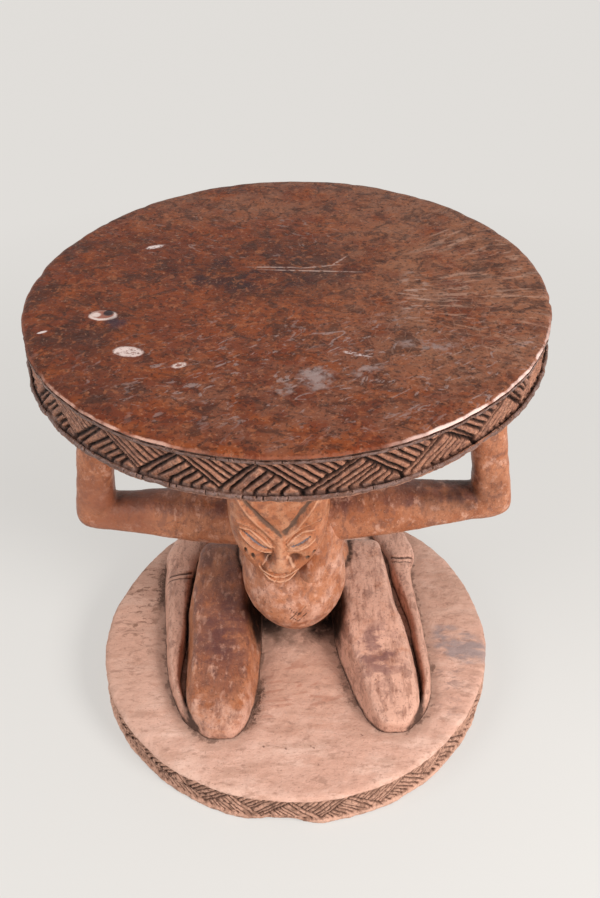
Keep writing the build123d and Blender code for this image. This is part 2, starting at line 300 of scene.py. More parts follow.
def cutLines(name, runs):
    # runs of points in millimetres, each with its strength, as loose edges for the knife to follow
    points, edges, strengths = [], [], []
    for run, strength in runs or [([(9000, 0, 0), (9001, 0, 0)], 0.1)]:
        start = len(points)
        points += [tuple(np.asarray(p) * metre) for p in run]
        edges += [(start + k, start + k + 1) for k in range(len(run) - 1)]
        strengths += [strength] * (len(run) - 1)
    mesh = bpy.data.meshes.new(name)
    mesh.from_pydata(points, edges, [])
    mesh.attributes.new("strength", "FLOAT", "EDGE").data.foreach_set("value", strengths)
    guide = bpy.data.objects.new(name, mesh)
    bpy.context.scene.collection.objects.link(guide)
    return guide


def carve(piece, finish, runs=(), neighbours=(), **values):
    # runs the knife over a piece; values are the tree's inputs in millimetres
    guide = cutLines(piece.name + "Cuts", runs)
    others = bpy.data.objects.new(piece.name + "Others", bpy.data.meshes.new(piece.name + "Others"))
    bpy.context.scene.collection.objects.link(others)
    work = bmesh.new()
    for neighbour in neighbours:
        work.from_mesh(neighbour.data)
    if not neighbours:
        for corner in ((9, 0, 0), (9, 1, 0), (9, 0, 1)):
            work.verts.new(corner)
        work.faces.new(work.verts)
    work.to_mesh(others.data)
    work.free()
    carving = piece.modifiers.new("carving", "NODES")
    carving.node_group = knifeCarving
    wanted = {name: value if name == "seed" else value * metre for name, value in values.items()}
    wanted.update(cutLines=guide, neighbours=others, finish=finish)
    for socket in knifeCarving.interface.items_tree:
        if socket.in_out == "INPUT" and socket.name in wanted:
            carving[socket.identifier] = wanted[socket.name]
    settle(piece)
    for helper in (guide, others):
        bpy.data.objects.remove(helper)
    # nothing passes the top of the seat, the floor or the widest circle
    points = pointsOf(piece)
    points[:, 2] = np.clip(points[:, 2], 0, stool["top"])
    reach = np.maximum(np.hypot(points[:, 0], points[:, 1]), 1)
    points[:, :2] *= np.minimum(1, stool["widest"] / reach)[:, None]
    piece.data.vertices.foreach_set("co", (points * metre).ravel())


# Finishes
def coat(size, low, high, colour=None, strength=1.0, **more):
    # a layer of a finish: the size of its noise, the noise values where it starts and is full, its
    # colour and its strength. More are squeeze, turn, swirl and detail of the noise, rough, relief,
    # an attribute that it follows, and a zone (middle, half sizes, softness) with a ragged edge.
    # On a flat top a zone has no heights
    return {"size": size, "cover": (low, high), "colour": colour, "strength": strength, **more}


def woodFinish(name, look):
    # one wood finish, built up in layers over its ground colour, with its own gloss and relief
    finish = bpy.data.materials.new(name)
    finish.use_nodes = True
    tree = finish.node_tree
    tree.nodes.clear()
    add = partial(addNode, tree)
    place = add("TexCoord")["Object"]
    colour, rough, height = linear(look["ground"]), look["rough"], 0.0
    for number, layer in enumerate(look["layers"]):
        vector = place
        if "radial" in layer:
            # strokes that run out from the middle: angle across, reach along
            axes = add("SeparateXYZ", {0: place})
            turn = add("Math", {0: axes[1], 1: axes[0]}, operation="ARCTAN2")[0]
            across = add("Math", {0: turn, 1: 0.11}, operation="MULTIPLY")[0]
            along = add("VectorMath", {0: place}, operation="LENGTH")["Value"]
            vector = add("CombineXYZ", {0: across, 1: along})[0]
        if "turn" in layer:
            vector = add("Mapping", {"Vector": vector, "Rotation": (0, 0, math.radians(layer["turn"]))})[0]
        shift = (number * 0.37, number * 0.21, number * 0.13)
        spread = {"Vector": vector, "Scale": layer.get("squeeze", (1, 1, 1)), "Location": shift}
        vector = add("Mapping", spread)[0]
        grain = {"Vector": vector, "Scale": 1 / (layer["size"] * metre)}
        if "cells" in layer:
            noise = add("TexVoronoi", grain, feature="DISTANCE_TO_EDGE")["Distance"]
        else:
            grain.update(Detail=layer.get("detail", 4.0), Roughness=0.6, Distortion=layer.get("swirl", 0.0))
            noise = add("TexNoise", grain)["Fac"]
        if "follows" in layer:
            # an attribute of the mesh, broken up by the noise
            amount = add("Attribute", attribute_name=layer["follows"])["Fac"]
            loose = add("Math", {0: noise, 1: 0.5}, operation="SUBTRACT")[0]
            noise = add("Math", {0: loose, 1: layer["ragged"], 2: amount}, operation="MULTIPLY_ADD")[0]
        low, high = layer["cover"]
        ramp = {0: noise, 1: low, 2: high, 3: 0.0, 4: layer["strength"]}
        mask = add("MapRange", ramp, interpolation_type="SMOOTHSTEP")[0]
        if "zone" in layer:
            middle, half, soft = layer["zone"]
            spot = {
                "Vector": place,
                "Location": [c * metre for c in (*middle, look.get("level"))[:3]],
                "Rotation": (0, 0, math.radians(layer.get("zoneTurn", 0))),
                "Scale": [c * metre for c in (*half, 60)[:3]],
            }
            away = add("Mapping", spot, vector_type="TEXTURE")[0]
            away = add("VectorMath", {0: away}, operation="LENGTH")["Value"]
            edge = {"Vector": place, "Scale": 1 / (layer.get("edgeSize", 12) * metre), "Detail": 3.0}
            edge = add("Math", {0: add("TexNoise", edge)["Fac"], 1: 0.5}, operation="SUBTRACT")[0]
            away = add("Math", {0: edge, 1: layer.get("edge", 1.0), 2: away}, operation="MULTIPLY_ADD")[0]
            ramp = {0: away, 1: 1 + soft, 2: 1 - soft, 3: 0.0, 4: 1.0}
            inside = add("MapRange", ramp, interpolation_type="SMOOTHSTEP")[0]
            mask = add("Math", {0: mask, 1: inside}, operation="MULTIPLY")[0]
        if layer["colour"]:
            colour = add("Mix", {0: mask, 6: colour, 7: linear(layer["colour"])}, data_type="RGBA")[2]
        if "rough" in layer:
            rough = add("Mix", {0: mask, 2: rough, 3: layer["rough"]}, data_type="FLOAT")[0]
        if "relief" in layer:
            height = add("Math", {0: mask, 1: layer["relief"], 2: height}, operation="MULTIPLY_ADD")[0]
    shader = {"Base Color": colour, "Roughness": rough, "IOR": 1.5, "Specular IOR Level": look["gloss"]}
    shader["Normal"] = add("Bump", {"Strength": 1.0, "Distance": metre, "Height": height})[0]
    add("OutputMaterial", {0: add("BsdfPrincipled", shader)[0]})
    return finish


# Hardwood seat, rubbed dark by years of sitting: a low uneven gloss, purple-brown in the hollow, redder
# where the finish is thin, greyer and scuffed on the right with painted sheen, painted highlights on the rim
seatPatina = woodFinish("handPolishedHardwood", {
    "ground": "#6e311a", "rough": 0.5, "gloss": 0.13, "level": 349,
    "layers": [
        coat(60, 0.35, 0.7, "#58291a", 0.8),
        coat(24, 0.45, 0.64, "#85421f", 0.75, swirl=0.8),
        coat(34, 0.25, 0.6, "#7f3b1c", 0.6, rough=0.36, zone=((-25, 5), (92, 70), 0.3), edge=0.7),
        coat(34, 0.2, 0.6, "#4f2819", 0.8, zone=((-6, 34), (62, 40), 0.5), edge=0.9),
        coat(17, 0.44, 0.58, "#2f1518", 0.9, swirl=0.6, zone=((-16, 30), (58, 30), 0.6)),
        coat(22, 0.42, 0.6, "#382019", 0.65, swirl=0.8, zone=((-142, -20), (44, 120), 0.6), edge=1.2),
        # greyer and lighter on the right: scuffs, and a painted sheen
        coat(26, 0.3, 0.6, "#8a5b43", 0.85, rough=0.52, zone=((110, 10), (76, 150), 0.55), edge=0.9),
        coat(26, 0.3, 0.62, "#835742", 0.75, zone=((20, 140), (170, 44), 0.6), edge=0.8),
        coat(18, 0.42, 0.6, "#7b4c38", 0.75, zone=((45, -105), (125, 60), 0.5)),
        coat(
            11, 0.4, 0.62, "#8c4a28", 0.65, detail=7.0, swirl=0.8, zone=((4, -16), (46, 24), 0.6),
            edge=1.4, edgeSize=16,
        ),
        coat(12, 0.5, 0.62, "#371f18", 0.65, detail=8.0, swirl=1.0),
        coat(6, 0.52, 0.64, "#452216", 0.6, squeeze=(0.5, 1, 1), turn=25, detail=7.0, swirl=0.8),
        coat(5, 0.54, 0.66, "#9c5d3c", 0.5, detail=7.0, swirl=0.5),
        coat(
            4.5, 0.52, 0.64, "#ab8470", 0.6, squeeze=(1, 0.5, 1), radial=True, detail=8.0, swirl=1.0,
            rough=0.55, zone=((130, 34), (46, 112), 0.5), edge=1.4, edgeSize=16,
        ),
        coat(
            4, 0.52, 0.64, "#3f271f", 0.55, squeeze=(1, 0.4, 1), radial=True, detail=7.0, swirl=0.6,
            zone=((126, 34), (54, 116), 0.5), edge=1.4, edgeSize=16,
        ),
        coat(
            9, 0.05, 0.0, "#a37c69", 0.25, cells=True, zone=((95, -45), (62, 62), 0.5), edge=2.2,
            edgeSize=8,
        ),
        coat(
            10, 0.57, 0.64, "#97807a", 0.65, squeeze=(0.6, 1.2, 1), turn=-30, detail=9.0, swirl=2.0,
            zone=((25, -82), (130, 55), 0.5), edge=1.2,
        ),
        coat(
            10, 0.6, 0.67, "#8d766f", 0.6, squeeze=(0.5, 1.2, 1), turn=20, detail=9.0, swirl=2.0,
            zone=((-40, 70), (80, 40), 0.5), edge=1.2,
        ),
        coat(2.2, 0.52, 0.66, "#2a1510", 0.65, detail=6.0, relief=-0.08),
        coat(2.4, 0.58, 0.7, "#ad7f66", 0.4, detail=7.0, relief=0.03),
        coat(
            4.5, 0.54, 0.62, "#ab8a7b", 0.65, squeeze=(0.3, 1.2, 1), turn=4, detail=3.0, relief=-0.1,
            zone=((79, -5), (10, 30), 0.3), edge=0.6,
        ),
        *[
            coat(
                4, 0.36, 0.52, "#b5968a", 0.7, relief=-0.1, zone=((x, y), (length, 0.75), 0.4), edge=0.5,
                edgeSize=4, zoneTurn=turn,
            )
            for x, y, length, turn in (
                (-8, 35.2, 17, -3), (21, 35, 13, 8), (34, 41.5, 8, 48), (16, 29.6, 30, -5),
            )
        ],
        coat(9, 0.3, 0.7, rough=0.3, relief=0.14),
        coat(2.4, 0.3, 0.7, relief=0.1, detail=5.0),
        coat(4, 0.6, 1.2, "#8a5440", 0.6, follows="rim", ragged=1.8, rough=0.38),
        # painted highlights on the rim, at the front right and the front left
        coat(
            6, 0.6, 1.1, "#e4c4b9", 0.9, squeeze=(0.6, 0.6, 1), follows="rim", ragged=1.6, detail=7.0,
            rough=0.28, zone=((120, -108), (72, 62), 0.4), edge=0.6,
        ),
        coat(
            6, 0.75, 1.25, "#cfa391", 0.8, squeeze=(0.6, 0.6, 1), follows="rim", ragged=1.8, detail=7.0,
            rough=0.3, zone=((-98, -122), (56, 40), 0.4), edge=0.6,
        ),
        coat(3, 0.15, 0.5, "#b8927f", 0.8, follows="cut", ragged=0.5),
        # pale spots of paint or wax, a dark knot hole and its stain
        coat(
            2.5, 0.3, 0.5, "#d9c2ba", 0.95, relief=0.25, zone=((-90.6, -62.5), (8.6, 5.2), 0.15),
            edge=0.35, edgeSize=3, zoneTurn=-12,
        ),
        coat(2.0, 0.52, 0.62, "#8f6a60", 0.8, zone=((-90.6, -62.5), (8.6, 5.2), 0.15)),
        coat(
            2.5, 0.1, 0.3, "#dcc6bd", 0.9, relief=0.2, zone=((-110.3, -23.2), (8.2, 5.6), 0.12), edge=0.3,
            edgeSize=3,
        ),
        coat(2.5, 0.1, 0.3, "#8c5140", 0.95, zone=((-110.6, -22.2), (6.6, 4.4), 0.15), edge=0.3, edgeSize=3),
        coat(2.5, 0.1, 0.3, "#e0cdc4", 0.8, zone=((-114.5, -22.5), (2.6, 2.6), 0.3), edge=0.4, edgeSize=2),
        coat(
            2.5, 0.1, 0.3, "#241a20", 0.95, relief=-0.5, zone=((-107.6, -20.2), (3.0, 3.0), 0.25),
            edge=0.4, edgeSize=2,
        ),
        coat(4, 0.3, 0.5, "#35252f", 0.75, zone=((-101.5, -30.5), (6.5, 5.5), 0.5), edgeSize=5),
        coat(
            1.5, 0.3, 0.5, "#d4beb4", 0.9, zone=((-60.4, -76.5), (4.0, 2.6), 0.25), edge=0.6, edgeSize=2,
            zoneTurn=25,
        ),
        coat(2.5, 0.1, 0.3, "#7a4636", 0.9, zone=((-60.6, -76.6), (2.0, 1.2), 0.3), zoneTurn=25),
        coat(
            1.5, 0.35, 0.5, "#dccbc6", 0.9, zone=((-87.8, 62.7), (6.0, 2.0), 0.3), edge=0.6, edgeSize=3,
            zoneTurn=22,
        ),
        coat(1.5, 0.2, 0.4, "#dccbc6", 0.9, zone=((-143.2, -42.4), (2.6, 0.9), 0.3), zoneTurn=25),
        # a painted glint
        coat(
            3, 0.4, 0.55, "#cbb6b2", 0.85, zone=((39, -67.5), (7.5, 1.3), 0.4), edge=0.8, edgeSize=3,
            zoneTurn=-22,
        ),
        coat(
            5, 0.42, 0.58, "#9a8681", 0.75, detail=7.0, zone=((15, -91), (8, 9), 0.4), edge=1.8,
            edgeSize=7,
        ),
        *[
            coat(
                5, 0.4, 0.58, "#8f7872", 0.72, detail=8.0, zone=((x, y), (wide, deep), 0.4), edge=1.6,
                edgeSize=8, zoneTurn=turn,
            )
            for x, y, wide, deep, turn in (
                (-2, -101, 9, 5, 40), (19, -91, 7, 10, 0), (80, -60, 16, 5, -10), (45, -84, 10, 4, 20),
            )
        ],
    ],
})

# Carved edge: the same hardwood, brown on the cut bars, black with old dirt and painted shade in the
# grooves, grey with handling on the highest ridges and paler on the bead's top as painted highlight
borderPatina = woodFinish("carvedHardwoodPatina", {
    "ground": "#8c5b45", "rough": 0.5, "gloss": 0.4,
    "layers": [
        coat(14, 0.35, 0.65, "#9f6b52", 0.8),
        coat(6, 0.48, 0.66, "#57342a", 0.75, detail=6.0),
        coat(3, 0.55, 0.66, "#bb8a70", 0.6, detail=6.0),
        coat(1.6, 0.5, 0.68, "#43271f", 0.6, relief=-0.14),
        coat(2.0, 0.3, 0.7, relief=0.2, detail=5.0),
        # strip and bead: brown, then grey on the bead's top, partly handling and partly painted highlight
        coat(6, 0.3, 0.8, "#553a30", 0.85, follows="ridge", ragged=1.2, rough=0.42),
        coat(5, 0.8, 1.05, "#755c55", 0.75, follows="ridge", ragged=1.8, rough=0.34),
        coat(1.6, 0.52, 0.66, "#38241d", 0.55, relief=-0.1),
        coat(1.8, 0.6, 0.7, "#b08b7c", 0.4),
        # rubbed edges of the cuts, lightened also as painted highlight, then the dark of dirt and painted
        # shade in them
        coat(2, 0.03, 0.14, "#b98c76", 0.22, follows="cut", ragged=0.25, rough=0.4),
        coat(2, 0.16, 0.5, "#4a2d22", 0.85, follows="cut", ragged=0.4, rough=0.7),
        coat(2, 0.4, 0.85, "#180d0a", 0.95, follows="cut", ragged=0.4, rough=0.85),
    ],
})

# Raw top of the base: dry pale hardwood, matte, with faint grain lines, knife chatter, old dirt packed
# round the legs, and painted shade near the legs, under the belly and away from the front
rawHardwood = woodFinish("dryPaleHardwood", {
    "ground": "#d3a895", "rough": 0.85, "gloss": 0.3, "level": 31,
    "layers": [
        coat(50, 0.4, 0.65, "#c89985", 0.7),
        coat(18, 0.45, 0.68, "#e0bba9", 0.6, squeeze=(0.5, 1, 1)),
        # painted shade: darker at the back, at both sides and in the middle, under the seat and the figure
        coat(30, 0.15, 0.6, "#b58f7c", 0.6, zone=((-85, 105), (95, 90), 0.5), edge=0.9, edgeSize=25),
        coat(30, 0.2, 0.6, "#c2937d", 0.8, zone=((0, -35), (40, 62), 0.5), edge=0.9, edgeSize=18),
        coat(30, 0.2, 0.6, "#bb937f", 0.5, zone=((128, 70), (48, 80), 0.6), edge=0.9, edgeSize=20),
        coat(30, 0.2, 0.6, "#bf9480", 0.6, zone=((-135, -10), (34, 90), 0.6), edge=0.9, edgeSize=20),
        coat(10, 0.5, 0.64, "#b08774", 0.55, squeeze=(0.3, 1, 1), turn=8, detail=9.0, swirl=0.3),
        coat(
            9, 0.52, 0.62, "#a8705a", 0.55, squeeze=(0.3, 1, 1), turn=-8, detail=9.0, swirl=1.2,
            zone=((-3, -62), (42, 30), 0.6), edge=1.4, edgeSize=14,
        ),
        coat(
            4, 0.5, 0.68, "#b98d78", 0.4, squeeze=(0.18, 1.0, 1), turn=-4, relief=-0.1, swirl=0.6,
            detail=6.0,
        ),
        coat(1.3, 0.54, 0.7, "#a07363", 0.4, squeeze=(0.3, 1.0, 1), turn=-4, relief=-0.12),
        coat(5, 0.55, 0.68, "#96705f", 0.55, squeeze=(0.45, 1, 1), detail=9.0, swirl=0.3),
        coat(
            5, 0.54, 0.6, "#72513f", 0.7, squeeze=(0.5, 1, 1), detail=8.0, swirl=0.8, relief=-0.2,
            zone=((-124, 44), (24, 60), 0.6), edge=1.4,
        ),
        coat(
            7, 0.5, 0.6, "#8b7068", 0.6, squeeze=(0.5, 1, 1), detail=8.0, swirl=0.8,
            zone=((118, -48), (14, 34), 0.6), edge=1.4,
        ),
        coat(1.5, 0.6, 0.72, "#7d5b4d", 0.5, relief=-0.15),
        coat(9, 0.3, 0.7, relief=0.3),
        coat(2.2, 0.3, 0.7, relief=0.16, detail=5.0),
        coat(
            9, 0.36, 0.58, "#958380", 0.85, squeeze=(0.5, 1, 1), detail=7.0,
            zone=((131, -17), (26, 16), 0.25), edgeSize=9, zoneTurn=-28,
        ),
        # near the legs: a brown haze of dirt and painted shade, a dark line of painted shade at the contact,
        # grains of dirt in the adze marks, thickest in three places
        coat(14, 0.1, 0.9, "#ad8674", 0.6, follows="dirt", ragged=1.1),
        coat(7, 0.92, 1.08, "#5f463a", 0.6, follows="dirt", ragged=1.2, rough=0.95),
        *[
            coat(
                size, 0.74, 0.98, tone, 0.6, follows="dirt", ragged=2.2, relief=-0.35, rough=0.95,
                detail=6.0, zone=(middle, half, 0.5), edge=1.3, edgeSize=14,
            )
            for middle, half in (((-27, -76), (9, 26)), ((31, -74), (9, 26)), ((-118, 52), (16, 24)))
            for size, tone in ((3.6, "#6a4e40"), (1.5, "#46322a"))
        ],
        # painted shade: near black in the gaps between the belly and the thighs, and darker under the belly
        coat(
            9, 0.2, 0.5, "#1d1310", 0.95, zone=((-22, 9), (11, 18), 0.45), edge=0.7, edgeSize=7,
            zoneTurn=35,
        ),
        coat(
            9, 0.2, 0.5, "#1d1310", 0.97, zone=((25, 9), (12, 20), 0.4), edge=0.7, edgeSize=7,
            zoneTurn=-35,
        ),
        coat(9, 0.3, 0.6, "#76584a", 0.7, zone=((2, -5), (26, 12), 0.5), edge=0.9, edgeSize=7),
        coat(3, 0.2, 0.6, "#6d4f43", 0.8, follows="cut", ragged=0.5),
    ],
})

# Carved edge of the base: bare and rubbed, pinkish on top of the cuts and dusty brown in them
wornCarving = woodFinish("wornCarvedHardwood", {
    "ground": "#b98d78", "rough": 0.8, "gloss": 0.3,
    "layers": [
        coat(12, 0.4, 0.64, "#c99a84", 0.8),
        coat(7, 0.46, 0.64, "#84604f", 0.8, detail=6.0),
        coat(2.5, 0.5, 0.66, "#654839", 0.7, relief=-0.2),
        coat(1.5, 0.3, 0.7, relief=0.2, detail=5.0),
        coat(3, 0.35, 0.8, "#d8ab95", 0.65, follows="ridge", ragged=1.1),
        coat(2, 0.1, 0.6, "#6a4c3f", 0.8, follows="cut", ragged=0.7, rough=0.9),
        coat(2, 0.45, 1.0, "#38261f", 0.85, follows="cut", ragged=0.5, rough=0.9),
    ],
})

# Figure: orange-brown hardwood with a soft sheen from handling, purple-brown where old finish stays on
# the broad faces (on the arms' tops also painted shade from the seat), pale and dry where it is rubbed,
# nearly black in the deep cuts, with painted shade in its gaps, inner corners and joins
figurePolish = woodFinish("handledFigureHardwood", {
    "ground": "#aa6d4e", "rough": 0.5, "gloss": 0.4,
    "layers": [
        coat(48, 0.38, 0.62, "#b0714f", 0.8),
        coat(16, 0.44, 0.62, "#965635", 0.8, swirl=0.6),
        coat(14, 0.35, 0.8, "#d0a08b", 0.95, follows="pale", ragged=1.2, swirl=0.4, detail=6.0),
        coat(26, 0.4, 0.95, "#7a4c3e", 0.7, follows="finish", ragged=2.2, swirl=0.4, detail=6.0),
        coat(
            9, 0.5, 1.0, "#5d3a36", 0.65, squeeze=(1, 0.6, 0.8), follows="finish", ragged=2.8, swirl=0.3,
            detail=9.0,
        ),
        coat(7, 0.52, 0.64, "#704a3f", 0.5, squeeze=(1, 0.5, 0.7), detail=8.0, swirl=0.6),
        coat(6, 0.54, 0.66, "#d3a18a", 0.5, squeeze=(1, 0.5, 0.7), detail=8.0),
        coat(3.4, 0.5, 0.66, "#7c4d39", 0.45, squeeze=(1, 0.22, 0.5), relief=-0.08),
        coat(1.8, 0.54, 0.7, "#4c2e25", 0.55, detail=6.0, relief=-0.1),
        coat(1.8, 0.58, 0.72, "#d9a88f", 0.4, detail=6.0),
        coat(6, 0.3, 0.7, rough=0.42, relief=0.2),
        coat(2.2, 0.3, 0.7, relief=0.16, detail=5.0),
        # painted shade: near black in the gaps between the belly and the thighs
        coat(9, 0.15, 0.45, "#120a08", 0.98, zone=((-31, 0, 44), (15, 24, 25), 0.4), edge=0.6, edgeSize=9),
        coat(9, 0.15, 0.45, "#120a08", 0.98, zone=((33, 3, 44), (15, 26, 25), 0.4), edge=0.6, edgeSize=9),
        # painted shade in the inner corners of both arms under the seat, and on the right elbow
        coat(20, 0.25, 0.6, "#37201b", 0.85, zone=((116, 6, 184), (30, 20, 20), 0.6), edge=0.8),
        coat(20, 0.25, 0.6, "#37201b", 0.85, zone=((-116, 6, 180), (28, 20, 20), 0.6), edge=0.8),
        coat(20, 0.25, 0.6, "#8a5038", 0.75, zone=((-140, 4, 168), (40, 30, 34), 0.6), edge=0.8),
        coat(
            7, 0.4, 0.58, "#5a3633", 0.75, squeeze=(0.5, 1, 1), detail=8.0,
            zone=((-56, -24, 66), (17, 36, 30), 0.6),
        ),
        coat(
            7, 0.42, 0.58, "#6e4a48", 0.7, squeeze=(0.5, 1, 1), detail=8.0,
            zone=((64, -48, 58), (16, 24, 30), 0.6), edge=1.2,
        ),
        # dirt and painted shade along the joins with neighbouring pieces
        coat(6, 0.1, 0.7, "#6b4c3e", 0.7, follows="dirt", ragged=0.9, rough=0.85),
        coat(4, 0.5, 0.95, "#3f2c25", 0.85, follows="dirt", ragged=1.6, rough=0.9),
        coat(3, 0.15, 0.75, "#38231c", 0.85, follows="cut", ragged=0.5, rough=0.8),
    ],
})

# Face: the same wood, rubbed warmer and smoother, with the paler grey of old pigment in the eyes
facePolish = woodFinish("rubbedFaceHardwood", {
    "ground": "#a66340", "rough": 0.45, "gloss": 0.45,
    "layers": [
        coat(24, 0.4, 0.62, "#935532", 0.8),
        coat(9, 0.46, 0.64, "#b9805f", 0.7, detail=6.0),
        coat(5, 0.5, 0.64, "#724432", 0.6, detail=7.0),
        coat(1.4, 0.54, 0.7, "#52301f", 0.6, relief=-0.08),
        coat(5, 0.3, 0.7, rough=0.36, relief=0.12),
        coat(1.8, 0.3, 0.7, relief=0.12, detail=5.0),
        # painted shade in the hollows beside the nose
        coat(3, 0.1, 0.75, "#583223", 0.85, follows="hollow", ragged=0.6),
        # raised lines paler: partly rubbed by handling, partly painted highlight
        coat(3, 0.25, 0.8, "#d6a283", 0.7, follows="ridge", ragged=0.5, rough=0.34),
        coat(2.4, 0.1, 0.7, "#584439", 0.88, follows="mark", ragged=0.9, rough=0.8),
        coat(1.6, 0.5, 1.0, "#7d7277", 0.85, follows="pigment", ragged=1.5),
        # dirt and painted shade where the hair, seat and legs come close
        coat(4, 0.65, 1.1, "#4a2e24", 0.7, follows="dirt", ragged=0.9, rough=0.9),
        coat(2, 0.15, 0.7, "#372820", 0.85, follows="cut", ragged=0.3, rough=0.8),
    ],
})
print("finishes done")


# Turned planks: seat and base
def turnedBody(name, profile, columns, change, closedLoop=False):
    # a profile of (radius, height) swept round the middle; change bends it out of true
    rows = np.asarray(profile, float)
    turn = np.linspace(0, 2 * math.pi, columns, endpoint=False)
    radius, angle = np.meshgrid(rows[:, 0], turn, indexing="ij")
    height = np.repeat(rows[:, 1:2], columns, axis=1)
    radius, height = change(angle, radius, height)
    points = np.stack([radius * np.sin(angle), -radius * np.cos(angle), height], axis=2)
    count = len(rows)
    index = np.arange(count * columns).reshape(count, columns)
    here = index if closedLoop else index[:-1]
    below = np.roll(index, -1, axis=0) if closedLoop else index[1:]
    corners = [here, np.roll(here, -1, axis=1), np.roll(below, -1, axis=1), below]
    faces = np.stack(corners, axis=2).reshape(-1, 4).tolist()
    points = points.reshape(-1, 3)
    if not closedLoop:
        # a fan of triangles closes the middle of the top and of the underside
        for row in (0, count - 1):
            points = np.vstack([points, [0, 0, height[row].mean()]])
            ring = index[row].tolist()
            faces += [(ring[k], ring[(k + 1) % columns], len(points) - 1) for k in range(columns)]
    return makeMesh(name, points, faces)


def waves(angle, sizes):
    # a closed uneven line: pairs of waves round the edge and their height in millimetres
    total = np.zeros_like(angle)
    for number, (count, height) in enumerate(sizes):
        total += height * np.sin(count * angle + 1.7 * number + 0.4)
    return total


def dents(angle, places):
    # places of (degrees, half width in degrees, depth)
    total = np.zeros_like(angle)
    for middle, half, depth in places:
        off = (np.degrees(angle) - middle + 180) % 360 - 180
        total += depth * np.exp(-((off / half) ** 2))
    return total


def setAttribute(piece, name, values):
    # one number for each point of the piece, for its finish to follow
    attribute = piece.data.attributes.new(name, "FLOAT", "POINT")
    attribute.data.foreach_set("value", np.asarray(values, np.float32))


def pointsOf(piece):
    flat = np.zeros(len(piece.data.vertices) * 3)
    piece.data.vertices.foreach_get("co", flat)
    return flat.reshape(-1, 3) / metre


def normalsOf(piece):
    flat = np.zeros(len(piece.data.vertices) * 3)
    piece.data.vertex_normals.foreach_get("vector", flat)
    return flat.reshape(-1, 3)


def ringPoint(radius, angle, height):
    # a point on a circle round the middle, at an angle from the front
    return (radius * math.sin(angle), -radius * math.cos(angle), height)


def friezeCuts(shape):
    # bottom and top corners take turns. On one side of each top corner runs a flat ribbon, and
    # both triangles are filled with cut bars that shorten to a point. A mirrored frieze has its
    # corners listed towards -X
    radius, low, high = shape["friezeRadius"], shape["friezeBottom"], shape["friezeTop"]
    barStep, ribbon = shape["barStep"], shape["ribbon"]
    corners = evenCorners(shape["corners"], shape["cornerStep"])
    chance = np.random.default_rng(shape["seed"])
    runs = []

    def cut(start, end, strength):
        # start and end are (degrees, share of the height)
        steps = max(2, int(abs(end[0] - start[0]) / 1.5) + 2)
        line = []
        for t in np.linspace(0, 1, steps):
            angle = math.radians(start[0] + (end[0] - start[0]) * t)
            share = start[1] + (end[1] - start[1]) * t
            line.append(ringPoint(radius, angle, low + (high - low) * share))
        runs.append((line, strength * shape["cutStrength"]))

    def meet(angle, share, lean, lineStart, lineEnd):
        # where a bar that leans by `lean` degrees over the full height meets a boundary line
        boundary = (lineEnd[0] - lineStart[0]) / (lineEnd[1] - lineStart[1])
        t = (angle - lean * share - lineStart[0] + boundary * lineStart[1]) / (boundary - lean)
        return (angle + lean * (t - share), t)

    for number in range(0, len(corners) - 2, 2):
        bottom, top, following = corners[number], corners[number + 1], corners[number + 2]
        after = corners[number + 3] if number + 3 < len(corners) else top + 360 / (len(corners) // 2)
        rise, fall = top - bottom, following - top
        cut((bottom, 0), (top, 1), 1.1)
        cut((bottom + ribbon, 0), (top + ribbon * 0.35, 0.93), 0.9)
        cut((top, 1), (following, 0), 1.15)
        at = bottom + ribbon + barStep
        while at < following - barStep * 0.6:
            lean = rise * chance.uniform(0.9, 1.06)
            end = meet(at, 0, lean, (top, 1), (following, 0))
            if end[1] > 0.12:
                cut((at, 0), (end[0], end[1] * 0.96), chance.uniform(0.75, 1.0))
            at += barStep * chance.uniform(0.85, 1.15)
        at = top + barStep * 0.9
        while at < after - barStep * 0.6:
            lean = -fall * chance.uniform(0.9, 1.08)
            end = meet(at, 1, lean, (following, 0), (after, 1))
            if end[1] < 0.9:
                cut((at, 1), (end[0], max(end[1], 0.04)), chance.uniform(0.75, 1.0))
            at += barStep * chance.uniform(0.85, 1.15)
    if shape["mirrored"]:
        runs = [([(-x, y, z) for x, y, z in line], strength) for line, strength in runs]
    return runs


def bentRuns(runs, bend):
    # lines drawn on a true circle, moved with the uneven edge that they are cut into
    moved = []
    for line, strength in runs:
        x, y, z = np.array(line, float).T
        angle = np.arctan2(x, -y)
        radius, height = bend(angle, np.hypot(x, y), z)
        points = np.stack([radius * np.sin(angle), -radius * np.cos(angle), height], axis=1)
        moved.append((points.tolist(), strength))
    return moved


def evenCorners(listed, period):
    # the corners that the photo shows, then as even as the carver kept them, all the way round
    bottoms = sorted(listed["bottom"])
    tops = sorted(listed["top"])
    while bottoms[-1] + period < bottoms[0] + 360 - period * 0.5:
        gap = bottoms[0] + 360 - bottoms[-1]
        bottoms.append(bottoms[-1] + gap / round(gap / period))
    corners = []
    for number, bottom in enumerate(bottoms):
        following = bottoms[number + 1] if number + 1 < len(bottoms) else bottoms[0] + 360
        top = next((t for t in tops if bottom < t < following), (bottom + following) / 2)
        corners += [bottom, top]
    return corners + [bottoms[0] + 360]


